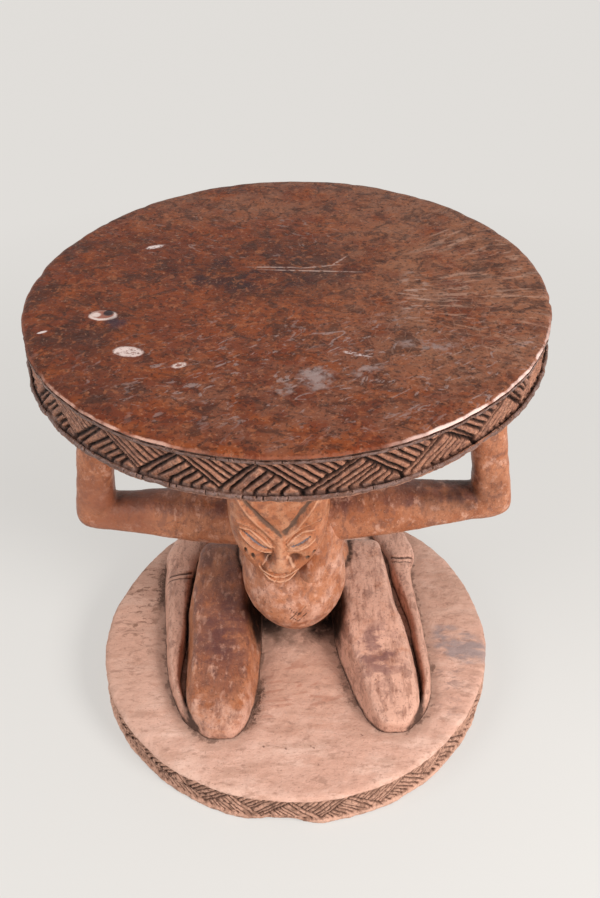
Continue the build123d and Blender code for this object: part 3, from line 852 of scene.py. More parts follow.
seat = {
    "top": 350.0, "underside": 320.0, "dish": 3.5, "slabRadius": 146.5,
    "friezeRadius": 160.2, "friezeTop": 344.4, "friezeBottom": 324.4, "bead": (161.0, 322.15),
    "beadHalf": (2.2, 2.15),
    "barStep": 2.3, "ribbon": 2.0, "cornerStep": 17.14, "seed": 5, "cutStrength": 1.0, "mirrored": False,
    "corners": {
        "bottom": [-46.9, -29.7, -13.0, 2.7, 22.2, 40.2, 56.8],
        "top": [-38.6, -21.2, -5.9, 13.2, 30.6, 48.6],
    },
    "edgeWaves": [(2, 0.35), (3, 0.3), (7, 0.16), (13, 0.12), (29, 0.1), (47, 0.1), (83, 0.08)],
    "edgeDents": [  # degrees from the front, half width in degrees, depth
        (150, 5, 0.8), (-152, 3, 0.9), (172, 4, 0.7), (128, 2.5, 0.8), (-118, 3, 0.9), (48, 22, 1.0),
        (-74, 4, 0.7), (162, 1.2, 0.9), (-165, 1.6, 1.1), (143, 1.0, 0.8), (-140, 1.3, 1.0),
        (-128, 0.9, 0.8), (117, 1.2, 0.8), (-100, 1.4, 0.9), (84, 1.1, 0.9), (-58, 1.0, 0.8),
    ],
}
base = {
    "top": 31.0, "slabRadius": 142.5, "friezeRadius": 154.4, "friezeTop": 27.0, "friezeBottom": 5.6,
    "barStep": 1.9, "ribbon": 2.6, "cornerStep": 16.7, "seed": 8, "cutStrength": 0.9, "mirrored": True,
    "corners": {"bottom": [-39.7, -23.0, -6.3], "top": [-30.7, -14.0]},
    "edgeWaves": [(2, 0.5), (3, 0.4), (5, 0.3), (11, 0.2), (23, 0.15)],
    "edgeDents": [
        (-45, 20, 1.6), (-5, 6, 1.2), (60, 10, 0.8), (100, 9, 1.2), (160, 12, 1.4), (-110, 10, 1.3),
    ],
}


def edgeInward(shape, angle):
    # how far the edge of the seat or base stands inside its circle
    return np.maximum(0.6 + waves(angle, shape["edgeWaves"]) + dents(angle, shape["edgeDents"]), 0)


def bendSeat(angle, radius, height):
    # out of true: the outline, a worn lower edge, a warped top and an uneven bead
    outer = np.clip((radius - 100) / 60, 0, 1)
    inward = edgeInward(seat, angle) * outer**2
    lower = np.clip((350 - height) / 26, 0, 1) * (radius > 150)
    inward = inward + lower * np.maximum(dents(angle, ((42, 24, 2.6), (-150, 40, 1.0))), 0)
    rise = waves(angle, ((1, 0.25), (2, 0.3), (5, 0.12))) * outer**2 * (height > 340)
    bead = waves(angle, ((9, 0.25), (17, 0.25), (31, 0.25), (53, 0.2), (97, 0.15)))
    bead = bead * (height < 324.5) * (radius > 159)
    return radius - inward - np.abs(bead), height - np.abs(rise) + bead * 0.5


def beadPoint(degrees):
    # radius and height on the round bead under the frieze
    turn = math.radians(degrees)
    radius = seat["bead"][0] + seat["beadHalf"][0] * math.cos(turn)
    return radius, seat["bead"][1] + seat["beadHalf"][1] * math.sin(turn)


slab, top, underside = seat["slabRadius"], seat["top"], seat["underside"]
seatProfile = [(2.0, 346.5)]
seatProfile += [(r, top - seat["dish"] * (1 - (r / slab) ** 2)) for r in np.arange(4.2, slab, 2.1)]
seatProfile += sampled([(slab, top), (156.5, top)], 1.4)
seatProfile += [
    (157.6, 349.95), (158.6, 349.8), (159.5, 349.5), (160.3, 349.1), (160.9, 348.7), (161.2, 348.35),
    (161.0, 348.1), (160.2, 347.95),
]
seatProfile += sampled([(158.8, 347.9), (slab, 347.9), (slab, underside), (2.0, underside)], 5)
seatTop = turnedBody("seatTop", seatProfile, 770, bendSeat)

ringProfile = [
    (160.2, 347.7), (161.1, 347.4), (161.4, 346.8), (161.4, 346.0), (161.3, 345.3), (161.0, 344.8),
    (160.5, 344.4),
]
ringProfile += sampled([(160.2, 344.0), (160.2, 324.6)], 0.62)
ringProfile += [beadPoint(degrees) for degrees in np.linspace(80, -90, 13)]
ringProfile += sampled([(160.0, underside), (slab, underside), (slab, 347.7), (159.0, 347.7)], 5)[:-1]
seatBorder = turnedBody("seatBorder", ringProfile, 1500, bendSeat, closedLoop=True)

friezeRuns = friezeCuts(seat)
# fine upright cracks in the bead and in the strip above the frieze
chance = np.random.default_rng(11)
at = 0.0
while at < 360:
    angle = math.radians(at)
    lean = math.radians(chance.uniform(-0.3, 0.3))
    crack = []
    for degrees in (62, 35, 10, -15, -40):
        radius, height = beadPoint(degrees)
        crack.append(ringPoint(radius, angle + lean * (62 - degrees) / 100, height))
    friezeRuns.append((crack[:2 + int(chance.integers(4))], chance.uniform(0.15, 0.55)))
    if chance.uniform() < 0.6:
        crack = [ringPoint(161.4, angle, 347.6), ringPoint(161.4, angle + lean, 344.6)]
        friezeRuns.append((crack, chance.uniform(0.2, 0.45)))
    at += 0.7 + min(chance.exponential(2.2), 9)
# a line all the way round at the foot and the top of the frieze, and under the lip
for height, strength in ((324.5, 0.65), (344.3, 0.4), (347.5, 0.4)):
    ring = [ringPoint(161, angle, height) for angle in np.linspace(0, 2 * math.pi, 181)]
    friezeRuns.append((ring, strength))
friezeRuns = bentRuns(friezeRuns, bendSeat)


def bendBase(angle, radius, height):
    # out of true: the outline, a worn upper edge and chips at the floor
    outer = np.clip((radius - 110) / 45, 0, 1)
    inward = edgeInward(base, angle) * outer**2
    worn = dents(angle, ((-42, 17, 3.2), (95, 14, 1.6), (150, 16, 2.0), (-120, 12, 1.8))) + 0.4
    drop = worn * np.clip((radius - 140) / 15, 0, 1) ** 1.5 * (height > 15)
    chip = dents(angle, ((-3, 5.5, 4.6), (-9, 3, 2.0), (70, 5, 2.0), (-150, 6, 3.0)))
    chip = chip * np.clip(1 - height / 9, 0, 1) * (radius > 135)
    return radius - inward - chip * 0.9, height - drop + chip * 0.5


slab, top = base["slabRadius"], base["top"]
baseProfile = [(r, top) for r in np.arange(2.0, 150.0, 2.0)]
baseProfile += [
    (151.0, 30.9), (152.0, 30.7), (152.9, 30.35), (153.7, 29.9), (154.3, 29.3), (154.7, 28.7),
    (154.8, 28.1), (154.2, 27.7),
]
baseProfile += sampled([(153.0, 27.6), (slab, 27.6), (slab, 0.0), (2.0, 0.0)], 6)
baseTop = turnedBody("baseTop", baseProfile, 820, bendBase)

edgeProfile = [(153.2, 27.5), (154.3, 27.45), (154.6, 27.0)]
edgeProfile += sampled([(154.5, 26.6), (154.5, 5.8)], 0.66)
edgeProfile += [
    (155.2, 5.3), (155.8, 4.5), (156.0, 3.4), (155.9, 2.2), (155.5, 1.1), (154.8, 0.3), (153.8, 0.0),
]
edgeProfile += sampled([(152.0, 0.0), (slab, 0.0), (slab, 27.5), (152.2, 27.5)], 5)[:-1]
baseBorder = turnedBody("baseBorder", edgeProfile, 1400, bendBase, closedLoop=True)
baseRuns = bentRuns(friezeCuts(base), bendBase)
print("seat and base turned")


# Figure
def roundedOutline(corners, rounds, steps=7):
    # a closed outline in its own plane, each corner rounded off by its own amount
    line = []
    for k, corner in enumerate(corners):
        corner = np.array(corner)
        before, after = corners[k - 1] - corner, corners[(k + 1) % len(corners)] - corner
        back, on = np.linalg.norm(before), np.linalg.norm(after)
        reach = min(rounds[k], 0.48 * back, 0.48 * on)
        start, end = corner + before / back * reach, corner + after / on * reach
        for t in np.linspace(0, 1, steps):
            line.append((1 - t) ** 2 * start + 2 * t * (1 - t) * corner + t**2 * end)
    return line


def lyingSkin(rows, side, rounds, crown, step=2.5):
    # a leg lying on the base, its rows as in legShape; a row without a lift stands on the base
    rows = np.array([(*row, 0)[:7] for row in rows], float)
    fine = np.linspace(rows[0, 0], rows[-1, 0], int(abs(rows[-1, 0] - rows[0, 0]) / step) + 2)
    shares = curveThrough(rows[:, 0], rows[:, 1:], fine)
    rings = []
    for y, (footIn, topIn, topOut, footOut, height, lift) in zip(fine, shares):
        low, top = base["top"] - 1.5 + lift, base["top"] + height
        middle = (topIn + topOut) / 2
        outline = roundedOutline(
            [(footIn, low), (topIn, top - crown), (middle, top), (topOut, top - crown), (footOut, low)],
            [2, rounds, rounds, rounds, 2],
        )
        rings.append([(side * x, y, z) for x, z in outline])
    return skin(rings)


trunkShape = {
    "body": [  # height, middle x, half width, front y, back y
        (29, 0, 12, 7, 57), (40, 0, 14.5, -3, 58), (50, 0.5, 19.5, -12.5, 57.5), (62, 1, 26.5, -24.5, 55),
        (74, 1, 33, -34.5, 52), (88, 0.5, 38.6, -40.4, 47), (102, 0, 40.0, -38.5, 42),
        (119, 0, 37.7, -31, 37.4), (143, 0, 39.0, -20.5, 34), (158, 0, 34.0, -15.5, 31),
        (165, 0, 25.4, -12.0, 28),
    ],
    "neck": [(140, -3, 17, -12, 22), (190, -6, 17, -12, 22), (236, -7, 17, -12, 22)],
    "breastLeft": [
        (17, -8, 148, 14, 14), (15, -24, 145.5, 12, 11.5), (13.2, -38, 142.5, 9.4, 9.0),
        (12.8, -46, 141.5, 6.2, 5.8), (12.6, -48.6, 141.2, 2.5, 2.4),
    ],
    "grain": 1.3, "smoothing": 8,
}
buttock = {"spacing": 22, "middle": (52, 53), "half": (29, 31, 34)}


def buttockSkin(side):
    # an egg shape, cut off flat where it goes into the base
    (y, z), (wide, deep, high) = buttock["middle"], buttock["half"]
    rows = []
    for t in np.linspace(-0.96, 0.98, 18):
        size = math.sqrt(1 - t * t)
        height = max(z + t * high, 29.0)
        if not rows or height > rows[-1][0]:
            rows.append((height, side * buttock["spacing"], wide * size, y - deep * size, y + deep * size))
    return standingSkin(rows, 2.0, 2.5)


breastRight = [(-x, y, z, a, b) for x, y, z, a, b in trunkShape["breastLeft"]]
trunk = carvedBody("trunk", [
    standingSkin(trunkShape["body"], 2.05),
    standingSkin(trunkShape["neck"], 2.0),
    limbSkin(trunkShape["breastLeft"], (1, 0, 0), 2.0),
    limbSkin(breastRight, (1, 0, 0), 2.0),
    buttockSkin(1), buttockSkin(-1),
], trunkShape["grain"], trunkShape["smoothing"])

armShape = {
    "upper": [  # x, y, z, half depth, half height
        (18, 6, 146.5, 18.5, 19), (45, 6, 150.5, 18.5, 19.6), (80, 6, 155.0, 17.6, 18.8),
        (103, 5.5, 157.8, 15.8, 16.4), (125, 5, 160, 14.0, 14.0), (146, 5, 162.5, 13.0, 13.2),
        (153, 5, 163.2, 11.4, 11.8), (156.8, 5, 163.6, 8.4, 8.6),
    ],
    "fore": [  # x, y, z, half depth, half width
        (149.5, 5, 151.2, 8.0, 8.4), (148.0, 5, 154.5, 11.4, 11.2), (146.2, 5, 160.5, 13.0, 13.0),
        (140.5, 5, 200, 13.1, 12.9), (134.0, 5, 245, 12.9, 12.7), (128.2, 5, 287, 12.6, 12.2),
        (126.6, 5, 298, 12.6, 11.6),
    ],
    "hand": [
        (127.6, 5, 288, 12.6, 11.8), (126.6, 5, 298, 14.4, 10.4), (126.2, 5, 310, 16.0, 8.9),
        (126.0, 5, 320.5, 16.4, 8.4),
    ],
    "shift": {"leftArm": (2.0, 4.0, 4.0), "rightArm": (0.0, 2.0, 1.5)}, "grain": 1.25, "smoothing": 6,
}
arms = {}
for side, name in ((1, "leftArm"), (-1, "rightArm")):
    sideways, back, lift = armShape["shift"][name]
    skins = []
    for key, power in (("upper", 2.5), ("fore", 3.0), ("hand", 3.2)):
        # the lift fades to none just below the seat
        stations = [
            (side * x + sideways, y + back, z + lift * min(1, max(0, (300 - z) / 130)), *halves)
            for x, y, z, *halves in armShape[key]
        ]
        skins.append(limbSkin(stations, (0, 1, 0), power))
    arms[name] = carvedBody(name, skins, armShape["grain"], armShape["smoothing"])

legShape = {
    "leftThigh": [  # y, inner foot, inner shoulder, outer shoulder, outer foot, height, lift
        (74, 38, 42, 60, 66, 14), (72.5, 32, 39, 66, 73, 27), (67.5, 28, 37, 70, 78, 36.5),
        (58, 26.5, 36.5, 71.5, 80.5, 41), (40, 28, 38, 73, 83, 41), (9, 30, 38, 76, 86, 37.5),
        (-15, 31, 39, 83, 92, 34), (-38, 36, 43, 86, 95, 29.5), (-61, 42, 51, 89, 96, 24.5),
        (-74, 46, 54, 91, 95.5, 21.5), (-84, 50, 56.5, 91, 94, 19), (-92, 55.5, 58.5, 88, 90, 17),
        (-98, 61.5, 62, 83, 84.5, 15.2, 0.5), (-101, 66.5, 67, 79, 80, 13.4, 3),
    ],
    "rightThigh": [
        (74, 40, 48, 64, 70, 14), (72.5, 33, 46, 70, 78, 27), (67.5, 30, 46, 74, 84, 36.5),
        (58, 28, 45.5, 77, 86.5, 41), (40, 27, 44, 79, 88, 41), (12, 26, 41, 81, 90, 38),
        (-12, 26.5, 38, 80, 88, 34), (-36, 27.5, 36.5, 79, 87, 29.5), (-57, 29, 36.5, 80, 86.5, 25),
        (-72, 31, 37.5, 80.5, 85.5, 22), (-84, 34, 39, 79, 82, 19.5), (-93, 38, 40.5, 75.5, 77.5, 17.5),
        (-99.5, 43, 43, 70, 71, 16, 0.5), (-104, 47, 46.5, 64, 65, 14.4, 3),
    ],
    "leftShin": [
        (84, 80, 83, 96, 101, 12), (66, 81, 85, 97, 102, 12), (52, 82, 86, 97, 101.5, 11.5),
        (26, 87.5, 91, 99, 103, 12), (1, 92.5, 95, 101, 104.5, 12.5), (-19, 93.5, 96, 102, 105.5, 12.5),
        (-42, 95, 97.5, 103, 106.5, 12), (-59, 95.5, 98.5, 102, 105, 11.5),
        (-69, 94, 97, 100.5, 103.5, 10.5), (-82, 88, 91, 95.5, 98.5, 9.5), (-92, 80, 83, 88, 91, 9),
        (-97, 74, 76, 81, 84, 7),
    ],
    "rightShin": [
        (70, 84, 88, 107, 113, 12.5), (51, 86.5, 90, 107.5, 112.5, 13.5), (20, 86.5, 90, 104, 109.5, 14),
        (-14, 87, 90, 101, 105.5, 14), (-37, 89, 92, 98.5, 102.5, 13.5), (-53, 89, 91.5, 95.5, 99, 12.5),
        (-74, 82.5, 85, 88.5, 91.5, 11), (-88, 74, 76.5, 81, 84, 10), (-96, 66, 69, 73, 76, 7.5),
    ],
    "thighBody": (1.25, 3), "lowerLegBody": (1.05, 5),  # grain and smoothing
}
footShape = {  # x, y, z, half height, half width: from the ankle back and inwards to the toes
    "left": [
        (92, 66, 34, 7.5, 9), (93, 76, 35, 8, 11.5), (90, 90, 35, 8.5, 13), (84, 104, 35, 8, 13),
        (78, 115, 34, 6.5, 11), (75, 121, 33.5, 4, 7),
    ],
    "right": [
        (-98, 60, 36, 8, 10.5), (-99, 72, 38, 9, 13), (-95, 86, 38.5, 9.5, 13.5), (-89, 100, 37.5, 9, 13),
        (-83, 111, 36, 7, 11), (-80, 117, 35, 4, 7),
    ],
}
legs = {}
for side, name in ((1, "left"), (-1, "right")):
    thigh = lyingSkin(legShape[name + "Thigh"], side, 5.5, 1.0)
    shin = lyingSkin(legShape[name + "Shin"], side, 4, 0.8)
    foot = limbSkin(footShape[name], (0, 0, 1), 2.2)
    legs[name + "Thigh"] = carvedBody(name + "Thigh", [thigh], *legShape["thighBody"])
    legs[name + "LowerLeg"] = carvedBody(name + "LowerLeg", [shin, foot], *legShape["lowerLegBody"])
print("figure roughed out")

headShape = {
    "rows": [  # height, half width, front reach, back reach
        (152, 6.0, 57.0, -38.0), (154.5, 9.2, 60.2, -30.0), (158, 12.2, 61.4, -22.0),
        (163, 16.0, 61.8, -12.0), (168, 20.8, 62.0, -4.0), (173, 25.4, 62.0, 2.0), (179, 29.2, 61.8, 9.0),
        (188, 32.6, 61.4, 16.0), (198, 34.6, 60.8, 22.0), (210, 35.3, 59.6, 25.0),
        (224, 35.4, 57.6, 26.0), (252.8, 35.0, 53.0, 27.0), (285, 33.0, 44.5, 25.0),
        (320, 28.8, 32.5, 21.8),
    ],
    "shift": -7.0, "turn": -3.0, "power": 4.2, "backPower": 2.3, "rowStep": 0.95, "columns": 440,
}


def headPlace(points):
    # from the head's own axis to its place on the figure
    turn = Matrix.Rotation(math.radians(headShape["turn"]), 3, "Z")
    return np.asarray(points) @ np.array(turn).T + np.array([headShape["shift"], 0, 0])


def headSkin():
    # outlines of the bare head, from the chin up
    rows = np.asarray(headShape["rows"], float)
    fine = np.arange(rows[0, 0], rows[-1, 0] + 0.01, headShape["rowStep"])
    fine[-1] = rows[-1, 0]
    # columns stand closer together on the face
    t = np.linspace(0, 1, headShape["columns"], endpoint=False)
    turn = 2 * math.pi * (t + 0.1 * np.sin(2 * math.pi * t))
    rings = []
    for z, (half, front, back) in zip(fine, curveThrough(rows[:, 0], rows[:, 1:], fine)):
        # turn 0 is the back and half a turn is the face
        c, s = np.cos(turn), np.sin(turn)
        power = 2 / np.where(c < 0, headShape["power"], headShape["backPower"])
        x = half * np.sign(s) * np.abs(s) ** power
        y = (back - front) / 2 + (back + front) / 2 * np.sign(c) * np.abs(c) ** power
        rings.append(np.stack([x, y, np.full_like(x, z)], axis=1))
    return rings


def nearLine(x, z, line):
    # distance in the face's plane to a line of points, and how far along it that is
    best = np.full_like(x, 1e9)
    share = np.zeros_like(x)
    lengths = [math.dist(a, b) for a, b in zip(line, line[1:])]
    total, done = sum(lengths), 0.0
    for (ax, az), (bx, bz), length in zip(line, line[1:], lengths):
        t = np.clip(((x - ax) * (bx - ax) + (z - az) * (bz - az)) / length**2, 0, 1)
        away = np.hypot(x - ax - t * (bx - ax), z - az - t * (bz - az))
        closer = away < best
        best = np.where(closer, away, best)
        share = np.where(closer, (done + t * length) / total, share)
        done += length
    return best, share


def bell(distance, half):
    # 1 on the line and 0 at its half width, with a soft shoulder
    t = np.clip(1 - distance / half, 0, 1)
    return t * t * (3 - 2 * t)


def blob(x, z, middle, half, turn):
    # a soft oval on the face, turned by its degrees
    c, s = math.cos(math.radians(turn)), math.sin(math.radians(turn))
    u = ((x - middle[0]) * c + (z - middle[1]) * s) / half[0]
    v = ((z - middle[1]) * c - (x - middle[0]) * s) / half[1]
    return bell(np.hypot(u, v), 1.0)


face = {
    # plain carved-mask forms, in millimetres across and up the face from the head's own axis;
    # the two sides differ a little, as the knife left them
    "browGrooves": [
        [(2.0, 198.6), (-4.2, 205.5), (-9.0, 211.0), (-13.6, 217.0), (-17.2, 220.5), (-24, 229), (-28, 238)],
        [(5.2, 201.0), (10.5, 207.5), (13.9, 214.0), (17.7, 219.5), (23, 227), (28, 237)],
    ],
    "browRidges": [
        [(-0.5, 194.5), (-7.8, 202.6), (-13.2, 209.0), (-18.0, 214.6), (-23.5, 222.5), (-28, 232)],
        [(5.5, 196.5), (13.8, 204.8), (17.8, 211.2), (22.0, 217.0), (28, 226.5)],
    ],
    "folds": [
        [(-2.6, 189.6), (-7.5, 196.2), (-12.8, 200.8), (-20.0, 206.0), (-27.5, 207.6)],
        [(6.2, 193.4), (10.8, 200.0), (16.4, 205.0), (24.8, 208.6), (29, 209)],
    ],
    "slits": [
        [(-4.4, 186.9), (-8.6, 189.2), (-13.2, 192.4), (-18.4, 196.8), (-23.6, 200.6)],
        [(8.4, 189.4), (13.0, 191.2), (17.6, 193.8), (22.6, 197.0)],
    ],
    "lids": [((-13.8, 193.2), (14.2, 6.2), -35), ((16.0, 193.2), (12.8, 6.6), 28)],
    "sockets": [((-15.5, 198.5), (19, 11.5), -36), ((17.5, 199.5), (18, 11.5), 30)],
    "hollows": [((-7.2, 179.6), (7.0, 6.0), -30), ((11.4, 178.4), (7.6, 6.2), 25)],
    "cheeks": [((-19.5, 183.5), (10.5, 6.0), -48), ((23.0, 183.0), (10.5, 6.0), 46)],
    "nostrils": [((-5.8, 173.0), (3.6, 2.4), -50), ((8.6, 172.6), (3.6, 2.4), 50)],
    "pits": [(-21.4, 184.4, 1.3), (-16.8, 180.0, 1.7), (20.2, 177.4, 1.6), (24.6, 181.6, 1.2)],
    "upperLip": (
        [
            (-12.6, 171.4), (-10.4, 168.2), (-6.4, 164.8), (-2.6, 162.7), (1.2, 162.0), (5.0, 162.8),
            (8.8, 164.9), (12.0, 167.2), (14.2, 168.6),
        ],
        1.2, 3.0,
    ),
    "lowerLip": (
        [
            (-9.4, 163.4), (-5.6, 159.4), (-2.0, 157.4), (1.2, 156.8), (4.4, 157.3), (7.8, 159.2),
            (11.4, 162.6),
        ],
        1.25, 2.8,
    ),
    "mouthLine": (
        [
            (-10.4, 165.2), (-6.2, 161.6), (-2.2, 159.9), (1.2, 159.3), (4.8, 159.9), (8.6, 161.9),
            (12.4, 165.0),
        ],
        0.9, 0.8,
    ),
    "lidLines": [
        [(-25.0, 203.0), (-17.9, 202.0), (-9.9, 195.3), (-3.9, 189.2)],
        [(-24.8, 199.0), (-20.8, 193.6), (-14.7, 188.0), (-8.5, 185.2), (-3.6, 185.4)],
        [(7.2, 191.8), (12.5, 197.4), (17.6, 200.8), (25.1, 201.6)],
        [(6.9, 186.6), (13.5, 186.8), (19.6, 189.0), (25.6, 193.8)],
    ],
    "noseWings": [[(-4.6, 182.5), (-7.0, 178), (-10.2, 173)], [(6.4, 182.5), (8.6, 178), (11.6, 173)]],
    # nose: height, middle, half width, how proud
    "nose": [
        (201, 2.8, 2.4, 0.8), (195, 2.5, 3.2, 2.4), (188, 2.3, 3.8, 4.2), (182, 2.0, 4.6, 5.6),
        (178.6, 1.8, 6.0, 6.6), (175.8, 1.7, 9.4, 7.2), (172.8, 1.6, 10.4, 7.2), (170.4, 1.5, 8.0, 6.4),
        (168.8, 1.5, 5.0, 4.4), (166.9, 1.4, 3.0, 1.0),
    ],
    "browRidgeSize": (3.0, 1.8), "browGrooveSize": (3.0, 1.7), "foldSize": (1.5, 1.5),
    "slitSize": (1.15, 1.6), "lidLineSize": (1.5, 1.4),
    "heights": {"sockets": -2.2, "hollows": -3.2, "cheeks": 1.4, "nostrils": 2.2}, "lidHeight": 3.0,
    "pitDepth": 2.6,
}


def faceRelief(x, z):
    # height of the carved relief, and masks for its ridges, hollows, pigment and cuts
    relief = np.zeros_like(x)
    ridge, hollow, pigment, cut = (np.zeros_like(x) for _ in range(4))
    for key in ("sockets", "hollows", "cheeks", "nostrils"):
        for middle, size, turn in face[key]:
            form = blob(x, z, middle, size, turn)
            relief += face["heights"][key] * form
            if key == "hollows":
                hollow = np.maximum(hollow, form)
    for middle, size, turn in face["lids"]:
        lid = blob(x, z, middle, size, turn)
        relief += face["lidHeight"] * lid**0.6
        ridge = np.maximum(ridge, 0.5 * np.clip(lid * (1 - lid) * 4, 0, 1))
    for key in ("browRidge", "fold"):
        half, height = face[key + "Size"]
        for line in face[key + "s"]:
            away, _ = nearLine(x, z, line)
            relief += height * bell(away, half)
            ridge = np.maximum(ridge, 0.55 * bell(away, half * 0.7))
    for line in [*face["lidLines"], *face["noseWings"]]:
        half, height = face["lidLineSize"]
        away, _ = nearLine(x, z, line)
        relief += height * bell(away, half)
        ridge = np.maximum(ridge, 0.8 * bell(away, half * 0.8))
    line, half, depth = face["mouthLine"]
    between = np.clip(1 - nearLine(x, z, line)[0] / half, 0, 1)
    relief -= depth * between
    cut = np.maximum(cut, 0.5 * between)
    for line in face["slits"]:
        half, depth = face["slitSize"]
        away, share = nearLine(x, z, line)
        wide = half * np.sin(np.clip(share, 0.03, 0.97) * math.pi) ** 0.5
        slit = np.clip(1 - away / np.maximum(wide, 0.2), 0, 1)
        relief -= depth * np.minimum(1, slit * 1.8)
        pigment = np.maximum(pigment, np.clip(slit * 2.5, 0, 1))
        cut = np.maximum(cut, 0.9 * bell(away, wide * 1.35))
    for line in face["browGrooves"]:
        half, depth = face["browGrooveSize"]
        away, _ = nearLine(x, z, line)
        width = half * (0.8 + 0.2 * np.sin(z * 0.5 + x * 0.3))
        groove = np.clip(1 - away / np.maximum(width, 0.5), 0, 1)
        relief -= depth * groove
        cut = np.maximum(cut, groove * 1.1)
    for px, pz, size in face["pits"]:
        hole = np.clip(1 - np.hypot(x - px, (z - pz) * 0.55) / size, 0, 1)
        relief -= face["pitDepth"] * np.sqrt(hole)
        cut = np.maximum(cut, np.clip(hole * 2.2, 0, 1))
    rows = np.array(face["nose"])[::-1]
    middle, half, proud = (np.interp(z, rows[:, 0], rows[:, k]) for k in (1, 2, 3))
    proud = proud * (z < rows[-1, 0]) * (z > rows[0, 0])
    bridge = np.clip(1 - (np.abs(x - middle) / half) ** 2, 0, 1) ** 0.5
    relief += proud * bridge
    ridge = np.maximum(ridge, 0.5 * bridge * (proud > 1.5))
    for key in ("upperLip", "lowerLip"):
        line, half, height = face[key]
        away, share = nearLine(x, z, line)
        taper = np.sin(np.clip(share, 0.05, 0.95) * math.pi) ** 0.4
        relief += height * taper * bell(away, half * 1.25)
        ridge = np.maximum(ridge, bell(away, half * 0.8))
    return relief, ridge, hollow, pigment, cut


masks = []
shaped = []
for ring in headSkin():
    x, y, z = ring.T
    toFront = np.clip((-y - 24) / 14, 0, 1)
    facing = np.clip(1.25 - np.abs(x) / (np.abs(x).max() * 0.9), 0, 1)
    facing = toFront * np.clip(facing * 4, 0, 1)
    relief, *marks = faceRelief(x, z)
    masks.append(np.stack([m * facing for m in marks], axis=1))
    shaped.append(np.stack([x, y - relief * facing, z], axis=1))
headPoints, headFaces = skin(shaped)
head = makeMesh("carvedHead", headPlace(headPoints), headFaces)
marks = np.vstack([*masks, np.zeros((2, 4))])
for column, name in enumerate(("ridge", "hollow", "pigment", "mark")):
    setAttribute(head, name, marks[:, column])
print("face carved")

hairShape = {
    "rows": [  # height, half width, front reach, back reach
        (197.0, 22.0, 4.0, 24.0), (200, 29.0, 10.5, 29.0), (214, 34.5, 16.5, 32.0),
        (236, 38.0, 19.0, 33.6), (262, 40.0, 20.0, 34.0), (292, 39.4, 19.5, 33.6),
        (320, 37.0, 18.5, 32.0),
    ],
    "grain": 1.1, "smoothing": 4,
}
plaits = {  # degrees from the back of the head, and heights
    "reach": 100, "step": 13.0, "grooves": (202, 318), "chevrons": (206, 316), "chevronStep": 8.0,
    "peak": 3.6,
}
hairRows = [(z, 0, half, -front, back) for z, half, front, back in hairShape["rows"]]
hairPoints, hairFaces = standingSkin(hairRows, 2.1)
coiffure = carvedBody(
    "plaitedHair", [(headPlace(hairPoints), hairFaces)], hairShape["grain"], hairShape["smoothing"],
)
ears = {}
earRows = [  # height, distance from the middle, half width, front y, back y
    (196.5, 33.5, 1.2, -19.5, -14.5), (199, 34.4, 3.4, -21.5, -13.5), (206, 35.2, 4.6, -22.3, -12.2),
    (214, 35.4, 4.6, -22.4, -11.8), (220, 34.8, 3.6, -21.5, -12.6), (222.5, 34.0, 1.4, -19.5, -14.5),
]
for side, name in ((1, "leftEar"), (-1, "rightEar")):
    earPoints, earFaces = standingSkin([(z, side * x, *rest) for z, x, *rest in earRows], 2.0, 1.0, 40)
    ears[name] = carvedBody(name, [(headPlace(earPoints), earFaces)], 0.7, 3)

# finer cuts and finish, piece by piece
figure = [trunk, head, coiffure, *arms.values(), *legs.values()]


def onSurface(piece, runs):
    # cut lines given roughly, laid onto the piece's own surface
    mesh = piece.data
    surface = BVHTree.FromPolygons([v.co for v in mesh.vertices], [p.vertices for p in mesh.polygons])
    laid = []
    for run, strength in runs:
        found = [surface.find_nearest(Vector(point) * metre)[0] for point in sampled(run, 1.5)]
        laid.append(([tuple(point / metre) for point in found], strength))
    return laid


def hairPoint(turn, z, lift=0.0):
    # a point on the hair, turned from the back of the head
    rows = hairShape["rows"]
    half, front, back = curveThrough([row[0] for row in rows], [row[1:] for row in rows], [z])[0]
    return (half * math.sin(turn), (back - front) / 2 + (front + back) / 2 * math.cos(turn), z + lift)


def hairCuts():
    # plaits: upright grooves round the back of the head, crossed by a chevron in each plait
    runs = []
    chance = np.random.default_rng(3)
    reach, step = plaits["reach"], math.radians(plaits["step"])
    for number, degrees in enumerate(np.arange(-reach, reach + 1, plaits["step"])):
        turn = math.radians(degrees)
        upright = [hairPoint(turn, z) for z in np.linspace(*plaits["grooves"], 24)]
        runs.append((headPlace(upright).tolist(), 1.0))
        peak = plaits["peak"] if number % 2 else -plaits["peak"]
        for z in np.arange(*plaits["chevrons"], plaits["chevronStep"]):
            chevron = [
                hairPoint(turn + step * t, z, peak * (1 - abs(2 * t - 1)))
                for t in np.linspace(0, 1, 5)
            ]
            runs.append((headPlace(chevron).tolist(), chance.uniform(0.5, 0.75)))
    return runs


